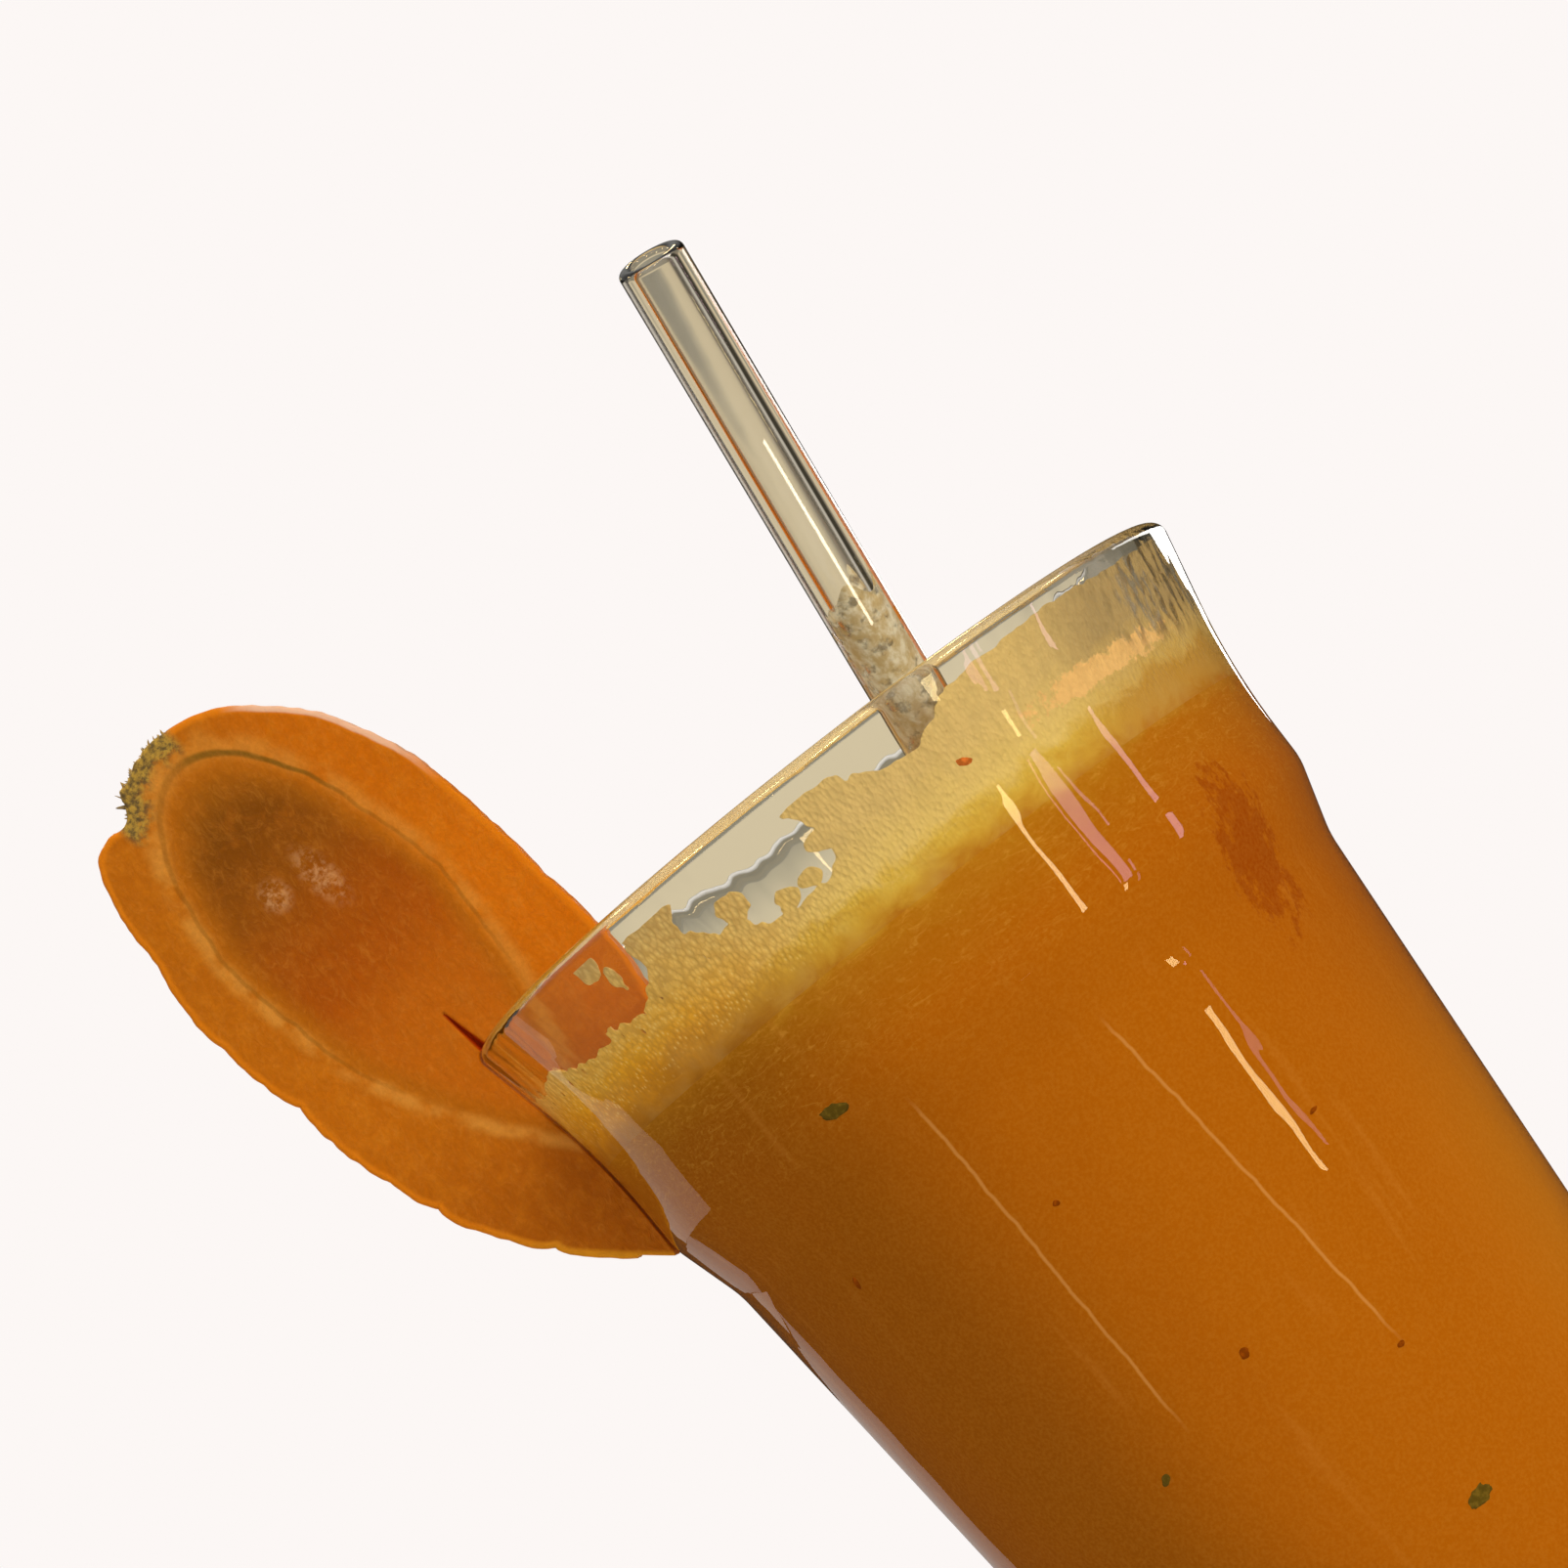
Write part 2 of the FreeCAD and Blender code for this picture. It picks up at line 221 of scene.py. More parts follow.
def blend(share, first, second, way="MIX"):
    """Mix two colours by a share, or lay the second over the first in another way."""
    return put("Mix", {0: share, 6: first, 7: second}, data_type="RGBA", blend_type=way)[2]


def stain(colour, share, *steps):
    """Lay an everyday colour over another colour by a share."""
    return blend(share, colour, linear(*steps))


def ramp(value, stops):
    made = put("ValToRGB", {"Fac": value})
    elements = made.node.color_ramp.elements
    while len(elements) < len(stops):
        elements.new(0.5)
    for element, (spot, colour) in zip(elements, stops):
        element.position = spot
        element.color = colour
    return made


def bumps(height, depth):
    """A bump of a depth in millimetres."""
    return put("Bump", {"Height": height, "Distance": depth * MM})


def see_through(share, shader, colour=(1, 1, 1, 1)):
    """A finish that lets a share of the light straight through."""
    return put("MixShader", {0: share, 1: shader, 2: put("BsdfTransparent", {"Color": colour})})


def clear_glass(name, tint, waves):
    """Clear glass with slight waves.  Lamps shine through it on what it holds."""
    material = new_material(name)
    swell = cloud(9, 1, (1, 1, 0.35)) + cloud(3, 1, (1, 1, 0.3)) * 0.5
    glass = put("BsdfPrincipled", {
        "Base Color": tint, "Roughness": 0.0, "IOR": 1.5, "Transmission Weight": 1.0,
        "Normal": bumps(swell, waves),
    })
    path = put("LightPath")
    lit = calc("MAXIMUM", path["Is Shadow Ray"], path["Is Diffuse Ray"])
    show(see_through(lit, glass, tint))
    return material


corners = [
    (0, 0, 0),
    (BASE_RADIUS, 0, FOOT_ROUND),
    *wall_corners(0),
    (RIM_RADIUS, HEIGHT, LIP_ROUND),
    (RIM_RADIUS - WALL, HEIGHT, LIP_ROUND),
    *reversed(wall_corners(WALL)),
    floor_corner(WALL, BASE_THICKNESS, FLOOR_ROUND),
    (0, BASE_THICKNESS, 0),
]
tumbler = turned("tumbler", rounded(corners))
tumbler.data.materials.append(clear_glass("clear_glass", (0.985, 0.985, 0.97, 1), 0.12))
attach(tumbler, "root")
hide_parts("glass")

# --- Juice ------------------------------------------------------------------------------------
# Cloudy carrot juice, a heavy liquid with pulp.  It is turned to the tumbler's inside, just into
# the wall so that no air shows, and runs up to its level under the froth.

JUICE_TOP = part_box("juice")[1].z
FROTH_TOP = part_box("foam")[1].z
# What the drink looks like from its juice up into its froth, with painted shade and light: heights
# in millimetres and colours, on the shaded side at -X, in front where it is lit, and on the side at
# +X.
SHADED_SIDE = (
    (107, 148, 80, 6), (112, 148, 84, 7), (115, 158, 98, 12), (117, 184, 118, 20),
    (119, 220, 146, 16), (121, 238, 168, 32), (124, 238, 186, 84), (130, 220, 182, 110),
)
LIT_SIDE = (
    (107, 176, 93, 4), (112, 175, 100, 8), (115, 180, 112, 16), (116, 192, 134, 32),
    (117.2, 206, 156, 46), (118.6, 218, 176, 66), (120, 230, 194, 106), (125, 222, 186, 112),
)
BRIGHT_SIDE = (
    (107, 178, 93, 5), (114, 180, 104, 10), (115.5, 182, 118, 24), (117, 192, 138, 50),
    (119.3, 192, 140, 50), (120.5, 208, 166, 82), (122, 208, 170, 96), (125, 178, 148, 94),
)


def shades(value, table):
    """Colours along a value.  Each row of the table is a place on it and an everyday colour."""
    low, high = table[0][0], table[-1][0]
    share = put("MapRange", {"Value": value, "From Min": low, "From Max": high})
    return ramp(share, [((spot - low) / (high - low), linear(*steps)) for spot, *steps in table])


def round_axis():
    """How far round the tumbler a place is, in degrees, and its height in millimetres.  The
    bearing is nought at -Y and 90 at +X."""
    split = put("SeparateXYZ", {0: place_of()})
    return calc("ARCTAN2", split["X"], split["Y"] * -1.0) * (180 / math.pi), split["Z"]


def patch(bearing, height, wide, high, waver):
    """1 in the middle of a patch on the wall and 0 outside it, with a wavering edge."""
    turn, up = round_axis()
    spread = hypot((turn - bearing) / wide, (up - height) / high)
    return sift(spread + (waver - 0.5), 1.15, 0.75)


def on_side(turn, first, last):
    """0 up to the first bearing and 1 past the last, and back to 0 at the rear."""
    rear = math.copysign(1, last)
    return sift(turn, first, last) * sift(turn, 178 * rear, 135 * rear)


def drink_colour_and_shade():
    """Colour of the drink by height, with painted shade and light by bearing; its boundary wavers."""
    turn, up = round_axis()
    level = up + (cloud(4.5, 4, (1, 1, 1.6), rough=0.62, twist=0.8) - 0.5) * 5.0
    shaded, lit, bright = (shades(level, side) for side in (SHADED_SIDE, LIT_SIDE, BRIGHT_SIDE))
    return blend(on_side(turn, 30, 50), blend(on_side(turn, -6, -40), lit, shaded), bright)


JUICE = new_material("cloudy_juice")
turn, up = round_axis()
drift = cloud(24, 3, (1, 1, 0.3), twist=0.6)
colour = stain(drink_colour_and_shade(), sift(drift, 0.62, 0.35, 0, 0.16), 150, 70, 2)
# Painted light: the juice is lighter lower down on its +X side, where the lamps fall.
painted_side_light = on_side(turn, 30, 80) * sift(up, 96, 60)
colour = stain(colour, painted_side_light * 0.35, 206, 136, 26)
streaks = cloud(2.4, 2, (1, 1, 0.02), (3, 1, 7))
colour = stain(colour, sift(streaks, 0.6, 0.78, 0, 0.12), 222, 146, 56)
# Wisps of pulp and fine bubbles hang under the froth and thin out downwards.
wisps = cloud(1.1, 5, (0.45, 0.45, 1.3), rough=0.7, twist=2.2)
near_top = sift(up, JUICE_TOP / MM - 18, JUICE_TOP / MM - 1)
colour = stain(colour, sift(wisps, 0.5, 0.7, 0, 0.4) * near_top, 214, 150, 52)
# A darker blotch where pulp clings to the wall.
waver = sift(cloud(1.8, 4, (1, 1, 0.6), rough=0.75), 0.3, 0.7)
colour = stain(colour, patch(51, 101, 6.0, 7.5, waver) * 0.75, 150, 62, 2)
# Two fine pale lines where pulp has run down the wall.
kink = cloud(5, 3, (0.01, 0.01, 1)) * 1.6
slant = up * 0.194 - 31.7
for bearing, lean, low, high in ((-17.0, 0.0, 62, 103), (0, slant, 56, 98)):
    line = sift(abs(turn + lean + kink - bearing), 0.45, 0.1)
    line = line * (sift(up, low, low + 6) * sift(up, high, high - 4))
    colour = stain(colour, line * 0.45, 222, 158, 78)
colour = stain(colour, sift(cloud(0.35, 2), 0.3, 0.75, 0, 0.1), 230, 160, 60)
show(put("BsdfPrincipled", {"Base Color": colour, "Roughness": 0.6, "Specular IOR Level": 0.0}))


def filled_to(height):
    """The outline of what fills the tumbler from its floor up to a height, just into its wall."""
    inset = WALL - BITE
    inside = rounded([(0, BASE_THICKNESS - BITE, 0),
                      floor_corner(inset, BASE_THICKNESS - BITE, FLOOR_ROUND),
                      (wall_radius(HEIGHT / 3, inset), HEIGHT / 3, 0)])
    steps = np.arange(HEIGHT / 3 + 2 * MM, height, 1.5 * MM)
    wall_line = [(wall_radius(step, inset), step) for step in [*steps, height]]
    return [*inside, *wall_line]


CREASE = 0.03 * MM  # two rings this near each other keep a corner crisp
juice_rim = wall_radius(JUICE_TOP, WALL - BITE)
outline = [*filled_to(JUICE_TOP - CREASE), (juice_rim, JUICE_TOP), (juice_rim - CREASE, JUICE_TOP)]
juice = turned("juice_body", [*outline, (0, JUICE_TOP)], 192)
juice.data.materials.append(JUICE)
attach(juice, "root")
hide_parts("juice")

# --- Froth head -------------------------------------------------------------------------------
# The thick froth that floats on the juice: fine bubbles at the wall, an uneven top with pits.
# Its top is a fine round grid, raised at the wall, and its side reaches just into the wall.

TOP_PALE = (232, 202, 136)  # the froth's top away from the wall


def froth_finish(name, film):
    """Froth, with the drink's colours and their painted shade, fine bubbles and pores drawn out down
    the wall, and painted glints on the bubbles at -X.  Its film has a peach patch in front, and is
    thin enough to see through on its +X side."""
    material = new_material(name)
    turn, up = round_axis()
    split = put("SeparateXYZ", {0: place_of()})
    lumps = cloud(5, 4, rough=0.6, shift=(3, 3, 9))
    inward = sift(hypot(split["X"], split["Y"]) + lumps * 4.0, 38.5, 35)
    colour = stain(drink_colour_and_shade(), inward, *TOP_PALE)
    colour = stain(colour, sift(lumps, 0.4, 0.7, 0, 0.2), 204, 168, 96)
    pores = put("TexVoronoi", {"Vector": place_of((1, 1, 0.55)), "Scale": 2.4})["Distance"]
    fading = sift(up, 116.2, 119.5)
    # Pale dots in the middles of the pores on the -X side are painted glints on the fine bubbles, and
    # the darker colour round them is painted shade between the bubbles.
    left = (on_side(turn, 5, -28) * 0.5 + 0.06) * fading
    colour = stain(colour, sift(pores, 0.34, 0.1) * left, 250, 214, 120)
    colour = stain(colour, sift(pores, 0.42, 0.66) * (left * 0.5), 168, 112, 34)
    grain = cloud(0.45, 3, rough=0.7, shift=(4, 0, 2))
    colour = stain(colour, sift(grain, 0.56, 0.75, 0, 0.3) * fading, 170, 128, 60)
    if film:
        waver = sift(cloud(1.4, 4, (1, 1, 1.2), rough=0.7, shift=(6, 6, 6)), 0.25, 0.75)
        colour = stain(colour, patch(45, 122.6, 15.5, 1.25, waver), 240, 188, 112)
    shader = put("BsdfPrincipled", {
        "Base Color": colour, "Roughness": 0.3, "Specular IOR Level": 0.12,
        "Normal": bumps(pores * fading, 0.2),
    })
    if film:
        thin = sift(cloud(1.1, 3, (1, 1, 0.35), (9, 4, 2)), 0.42, 0.6)
        right = sift(turn, 48, 62, 0.08, 0.85)
        shader = see_through(thin * right * sift(up, 120.5, 123.5), shader)
    show(shader)
    return material


MENISCUS = 0.9 * MM


def froth_height(out, turn):
    """How far the froth's top stands over its level: lumps, pits and a rise at the wall."""
    spot = Vector((out * math.sin(turn), -out * math.cos(turn), 0)) / MM
    lumps = noise.fractal(spot * 0.12, 1.0, 2.0, 3) * 0.7
    pits = min(noise.voronoi(spot * 0.55)[0][0], 0.5) * 0.9
    rise = math.exp(-(froth_edge - out) / (1.1 * MM)) * MENISCUS
    return (lumps + pits - 0.45) * MM + rise


froth_edge = wall_radius(FROTH_TOP, WALL - BITE)
outline = [(wall_radius(step, WALL - BITE), step)
           for step in (JUICE_TOP, *np.linspace(JUICE_TOP + CREASE, FROTH_TOP, 6))]
rings = np.linspace(froth_edge, 0, 100)[1:]
sunk = JUICE_TOP - 0.5 * MM
outline = [(0, sunk), (froth_edge - 2 * MM, sunk), *outline, *((out, FROTH_TOP) for out in rings)]
head = turned("froth_head", outline, 224)
for vertex in head.data.vertices:
    place = vertex.co
    if place.z > FROTH_TOP - 0.01 * MM:
        out = math.hypot(place.x, place.y)
        place.z += froth_height(out, math.atan2(place.x, -place.y))
head.data.materials.append(froth_finish("froth", film=False))
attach(head, "root")
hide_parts("foam")

# --- Froth film on the wall -------------------------------------------------------------------
# What the sinking froth left on the inside of the wall: a film up to about 2 mm below the rim,
# torn open in rounded patches.  It is a closed skin, cut along its edge and thickest in its middle.

FILM_LOW = FROTH_TOP - 0.7 * MM
FILM_HIGH = HEIGHT - 1.6 * MM
FILM_TOP = 129.7  # where it ends upwards on average, in millimetres
# Open patches: bearing, height in millimetres, half width in degrees, half height in millimetres.
OPEN_PATCHES = (
    (-76, 129.5, 15, 4.9), (-52, 129.4, 17.5, 5.6), (-41, 127.5, 6.5, 3.9),
    (-20, 127.2, 6.0, 2.9), (-12, 126.0, 8.2, 4.4), (-6.8, 124.6, 4.3, 2.7),
    (11, 130.3, 9.5, 3.6),
    (88, 128.5, 9, 4.0),
    (112, 127, 16, 4.2), (139, 123.6, 9, 1.7), (168, 129, 12, 3.6), (-162, 129, 17, 6.0),
    (-128, 127.6, 15, 4.4), (-103, 128.5, 11, 3.6),
)
# Bits of froth left in those patches, given in the same way.
LEFT_BITS = (
    (-18.7, 125.6, 2.5, 1.4), (-12.5, 123.0, 1.7, 1.1), (-8.2, 123.2, 1.5, 0.8),
    (-4.6, 125.4, 2.6, 0.9),
    (-41.5, 130.2, 2.2, 2.0), (-39.5, 127.9, 0.9, 1.4),
)

NEAR_RIM = 38  # millimetres from the axis to the inside of the wall, up where the film is


def trace(us, vs, field):
    """Cut a grid along the line where a field is nought, and keep where it is more.

    Gives the kept points, the faces over them, and the edges along that line."""
    points, faces, rims, known = [], [], [], {}

    def index(key, u, v):
        if key not in known:
            known[key] = len(points)
            points.append((u, v))
        return known[key]

    def crossing(here, there):
        first, last = sorted((here, there))
        share = field[first] / (field[first] - field[last])
        ends = [(us[spot[0]], vs[spot[1]]) for spot in (first, last)]
        u, v = (a + (b - a) * share for a, b in zip(*ends))
        return index((first, last), u, v)

    inside = field > 0
    for i in range(len(us) - 1):
        for j in range(len(vs) - 1):
            cell = ((i, j), (i + 1, j), (i + 1, j + 1), (i, j + 1))
            if not any(inside[spot] for spot in cell):
                continue
            face, leaving = [], []
            for here, there in zip(cell, cell[1:] + cell[:1]):
                if inside[here]:
                    face.append(index(here, us[here[0]], vs[here[1]]))
                if inside[here] == inside[there]:
                    continue
                face.append(crossing(here, there))
                if inside[here]:
                    leaving.append(len(face) - 1)
            rims += [(face[k], face[(k + 1) % len(face)]) for k in leaving]
            faces.append(face)
    return np.array(points), faces, rims


def skin(name, faces, rims, layers):
    """A closed piece of two faces joined round their rims.

    Each layer holds a place for every point.  Those between the first and the last, which have
    the faces, are only used along the rims."""
    places, starts = [], []
    rim_points = sorted({point for rim in rims for point in rim})
    for number, layer in enumerate(layers):
        whole = number in (0, len(layers) - 1)
        kept = range(len(layer)) if whole else rim_points
        starts.append({point: len(places) + k for k, point in enumerate(kept)})
        places.extend(layer[point] for point in kept)
    front, back = starts[0], starts[-1]
    made = [[front[point] for point in face] for face in faces]
    made += [[back[point] for point in reversed(face)] for face in faces]
    for first, last in rims:
        for near, far in zip(starts, starts[1:]):
            made.append([near[last], near[first], far[first], far[last]])
    return new_piece(name, places, made), starts


def soft_oval(turn, up, oval):
    """How far outside an oval on the wall a place is, in millimetres, less than 0 inside it."""
    bearing, height, wide, high = oval
    arc = NEAR_RIM * math.radians(1)
    across = (turn - bearing + 180) % 360 - 180
    spread = np.hypot(across / wide, (up - height) / high)
    return (spread - 1) * min(wide * arc, high)


def wall_noise(turn, up, size, seed):
    """Noise over the wall, from about -1 to 1, with lumps of a size in millimetres."""
    angle = math.radians(turn)
    spot = Vector((NEAR_RIM * math.sin(angle), -NEAR_RIM * math.cos(angle), up))
    return noise.noise(spot / size + Vector((seed, seed, seed)))


def film_field(turn, up):
    """Above 0 where the wall has froth on it: about how far inside the film's edge, in mm."""
    ragged = wall_noise(turn, up, 2.6, 3) * 0.85 + wall_noise(turn, up, 0.9, 8) * 0.45
    top = FILM_TOP + 0.8 * wall_noise(turn, 120, 14, 5) - 0.4 * math.cos(math.radians(3 * turn))
    inside = top + 0.35 * ragged - up
    for oval in OPEN_PATCHES:
        inside = min(inside, soft_oval(turn, up, oval) + ragged * 0.8)
    for oval in LEFT_BITS:
        inside = max(inside, -soft_oval(turn, up, oval) + ragged * 0.7)
    # Drips that stand in the patches and fine pores in rows at the side of the slice.
    if -78 < turn < -24 and up > 121.2:
        drip = math.cos(math.radians(turn * 38)) + wall_noise(turn, up * 0.3, 1.6, 11)
        if drip > 1.15 and up < 125.6 + 5 * wall_noise(turn, 0, 5, 2):
            inside = max(inside, 0.12)
        pore = wall_noise(turn * 1.6, up * 0.55, 0.75, 21)
        inside = min(inside, 1.3 - 3.1 * pore * (1 - abs(up - 123.4) / 3.4))
    return min(inside, up - FILM_LOW / MM + 0.05, FILM_HIGH / MM - up)


turns = np.concatenate([np.arange(-180, -90, 0.75), np.arange(-90, 95, 0.3),
                        np.arange(95, 180.1, 0.75)])
turns[-1] = 180
ups = np.arange(FILM_LOW / MM - 0.2, FILM_HIGH / MM + 0.3, 0.2)
field = np.array([[film_field(turn, up) for up in ups] for turn in turns])
points, faces, rims = trace(turns, ups, field)


def on_wall(turn, up, inset):
    out = wall_radius(up * MM, WALL) - inset
    angle = math.radians(turn)
    return Vector((out * math.sin(angle), -out * math.cos(angle), up * MM))


rim_points = {point for rim in rims for point in rim}
outer, inner = [], []
for number, (turn, up) in enumerate(points):
    depth = 0.0
    if number not in rim_points:
        inside = max(film_field(turn, up), 0)
        depth = (0.42 + 0.2 * wall_noise(turn, up, 1.4, 31)) * (1 - math.exp(-inside / 0.35))
        depth += 0.9 * math.exp(-(up - FROTH_TOP / MM + 0.6) / 0.8)
    tucked = 0.03 * MM if up * MM < FROTH_TOP + MENISCUS else 0
    outer.append(on_wall(turn, up, tucked - BITE))
    inner.append(on_wall(turn, up, depth * MM))
film, _ = skin("froth_film", faces, rims, [outer, inner])
joined = bmesh.new()
joined.from_mesh(film.data)
bmesh.ops.remove_doubles(joined, verts=joined.verts, dist=0.001 * MM)  # where its ends meet
joined.to_mesh(film.data)
joined.free()
film.data.materials.append(froth_finish("froth_film", film=True))
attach(film, "root")

# --- Straw ------------------------------------------------------------------------------------
# A drinking straw of thick clear glass tube, both ends melted round.  It stands on the tumbler's
# floor by the far wall and leans on the near lip.  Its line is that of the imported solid.

STRAW_RADIUS, STRAW_BORE, STRAW_ROUND = 3.25 * MM, 1.8 * MM, 0.65 * MM
STRAW_LENGTH = 180 * MM

solid = np.array([vertex.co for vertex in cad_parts["straw"].data.vertices])
straw_middle = Vector((solid.max(0) + solid.min(0)) / 2)
spread = np.cov((solid - solid.mean(0)).T)
straw_way = Vector(np.linalg.eigh(spread)[1][:, 2])
straw_way *= math.copysign(1, straw_way.z)
STRAW_PLACE = Matrix.Translation(straw_middle - straw_way * STRAW_LENGTH / 2)
STRAW_PLACE = STRAW_PLACE @ straw_way.to_track_quat("Z", "Y").to_matrix().to_4x4()

corners = [
    (STRAW_BORE, 0, STRAW_ROUND),
    (STRAW_RADIUS, 0, STRAW_ROUND),
    (STRAW_RADIUS, STRAW_LENGTH, STRAW_ROUND),
    (STRAW_BORE, STRAW_LENGTH, STRAW_ROUND),
]
straw = turned("straw_tube", rounded(corners), 96, STRAW_PLACE)
straw.data.materials.append(clear_glass("straw_glass", (0.95, 0.935, 0.9, 1), 0.02))
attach(straw, "root")
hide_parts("straw")

# --- Froth in the straw -----------------------------------------------------------------------
# Juice and froth drawn up the bore to above the rim, where it ends ragged.  It reaches just into
# the tube's wall.

DRAWN_UP = 141.5 * MM
drawn = (DRAWN_UP - straw_middle.z) / straw_way.z + STRAW_LENGTH / 2
reach = STRAW_BORE + 0.03 * MM
outline = [(0, 6 * MM), *((reach, up) for up in np.linspace(6 * MM, drawn, 60)), (0, drawn - 2 * MM)]
froth_core = turned("straw_froth", outline, 40, STRAW_PLACE)
for vertex in froth_core.data.vertices:
    spot = STRAW_PLACE.inverted() @ vertex.co
    if spot.z > drawn - 3 * MM:
        lift = noise.noise(Vector((spot.x, spot.y, 4 * MM)) / MM * 0.45) * 4 * MM
        vertex.co += straw_way * lift * min(1, (spot.z - drawn + 3 * MM) / (3 * MM))
material = new_material("drawn_froth")
mottle = sift(cloud(0.9, 4, (1, 1, 0.6), rough=0.65), 0.35, 0.68)
colour = stain(linear(188, 160, 104), mottle, 226, 214, 180)
core = put("BsdfPrincipled", {"Base Color": colour, "Roughness": 0.4})
show(see_through(sift(cloud(1.3, 3, shift=(5, 5, 5)), 0.5, 0.66, 0, 0.7), core))
froth_core.data.materials.append(material)
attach(froth_core, "root")

# --- Slice of carrot --------------------------------------------------------------------------
# A raw carrot cut lengthwise, slit from its tail and pushed down over the wall.  Both faces show
# the ring between core and flesh, and its skin is creased.  It is cut from a fine grid along the
# skin's line, with its rims rounded.

SLICE_WIDE_OUT, SLICE_WIDE_IN = 17.3, 16.9  # millimetres to the skin away from and over the glass
SLICE_CROWN, SLICE_TAIL_OUT, SLICE_TAIL_IN = 24.6, 50.5, 52.5
SLICE_HALF = 2.75
SLICE_RISE, SLICE_LEAN = 20.0, math.radians(10.5)
CREASES = ((-10.4, 0.75), (-27.2, 0.65), (-38.2, 0.8))  # where along the slice, and how deep
RIM_ROUND, SLIT_ROUND = 0.5, 0.15
SLIT_GAP = 0.12
CRACK_LONG, CRACK_HALF = 5.2, 0.35
RING_OUT, RING_IN = 11.1, 10.2
RING_MIDDLE, RING_TOP, RING_TAIL = -2.0, 21.0, 32.0

slice_out = (RIM_RADIUS - WALL / 2) / MM + SLICE_RISE * math.tan(SLICE_LEAN)
SLICE_PLACE = Matrix.Translation((-slice_out * MM, 0, HEIGHT + SLICE_RISE * MM))
SLICE_PLACE = SLICE_PLACE @ Matrix.Rotation(-SLICE_LEAN, 4, "Y")


def over_wall(u, v):
    """Distance out from the tumbler's wall, and place over its axis, of a place on the slice."""
    spot = SLICE_PLACE @ Vector((u * MM, 0, v * MM))
    out, up = -spot.x, spot.z
    middle = wall_radius(min(up, HEIGHT), WALL / 2)
    lip = HEIGHT - WALL / 2
    off = math.hypot(out - middle, max(up - lip, 0)) / MM - WALL / 2 / MM
    return off, out / MM, up / MM


def slice_outline(u, v):
    """About how far inside the skin a place is, in millimetres."""
    wide = SLICE_WIDE_OUT if u < 0 else SLICE_WIDE_IN
    if v > 0:
        spread = math.hypot(u / wide, v / SLICE_CROWN)
        slope = math.hypot(u / wide ** 2, v / SLICE_CROWN ** 2) / max(spread, 1e-6)
        inside = (1 - spread) / max(slope, 1e-3)
    else:
        tail = SLICE_TAIL_OUT if u < 0 else SLICE_TAIL_IN
        share = -v / tail
        inside = (wide * (1 - share ** 3.5) - abs(u)) / math.hypot(1, 3.5 * wide * share ** 2.5 / tail)
    wavy = noise.noise(Vector((u * 0.05 + 4, v * 0.16, 2))) * 0.55
    wavy += noise.noise(Vector((u * 0.1, v * 0.5, 9))) * 0.16
    if u < 0:
        for spot, deep in CREASES:
            wavy -= deep * math.exp(-abs(v - spot) / 0.9)
    stub = math.exp(-((u + 2.4) / 4.2) ** 4) if v > 15 else 0
    wavy += stub * (0.3 + 0.55 * noise.noise(Vector((u * 0.9, v * 0.9, 5))))
    wavy += 1.5 * math.exp(-((u + 11.6) / 2.6) ** 2) / (1 + math.exp(12 - v))
    notch = math.hypot(u + 7.7, v - 23.2) - 1.9
    return min(inside + wavy, notch)


def ring_depth(u, v):
    """How far inside the ring round the core a place is, in millimetres."""
    u = u + 0.5 * noise.noise(Vector((0, v * 0.12, 3))) + 0.2 * noise.noise(Vector((1, v * 0.5, 3)))
    wide = RING_OUT if u < 0 else RING_IN
    if v > RING_MIDDLE:
        spread = math.hypot(u / wide, (v - RING_MIDDLE) / (RING_TOP - RING_MIDDLE))
        return (1 - spread) * wide
    share = (RING_MIDDLE - v) / RING_TAIL
    return wide * (1 - min(share, 1.3) ** 2) - abs(u)


def crack(u, v):
    """How near a place is to the crack that runs up from the slit: less than 0 in it."""
    _, out, up = over_wall(u, v)
    share = (up - HEIGHT / MM) / CRACK_LONG
    line = (RIM_RADIUS - WALL / 2) / MM + 0.1 + 1.1 * share
    return abs(out - line) - CRACK_HALF * max(0, 1 - share) if -0.2 < share < 1 else 9.0


def rounding_at(u, v):
    return SLIT_ROUND if over_wall(u, v)[0] < 3 else RIM_ROUND


def slice_field(u, v):
    """Above 0 where the slice's flat face is: inside its skin and clear of the wall."""
    off = over_wall(u, v)[0]
    return min(slice_outline(u, v) - RIM_ROUND, off - SLIT_GAP - rounding_at(u, v))


us = np.concatenate([np.arange(-19, -4.5, 0.36), np.arange(-4.5, 4.5, 0.18), np.arange(4.5, 19, 0.36)])
vs = np.concatenate([np.arange(-52, -21.5, 0.4), np.arange(-21.5, -13, 0.18), np.arange(-13, 27, 0.4)])
field = np.array([[slice_field(u, v) for v in vs] for u in us])
points, faces, rims = trace(us, vs, field)

outward = {}
for point in {point for rim in rims for point in rim}:
    u, v = points[point]
    step = 0.05
    slope = Vector((slice_field(u + step, v) - slice_field(u - step, v),
                    slice_field(u, v + step) - slice_field(u, v - step)))
    outward[point] = -slope.normalized() if slope.length > 1e-9 else Vector((0, 0))


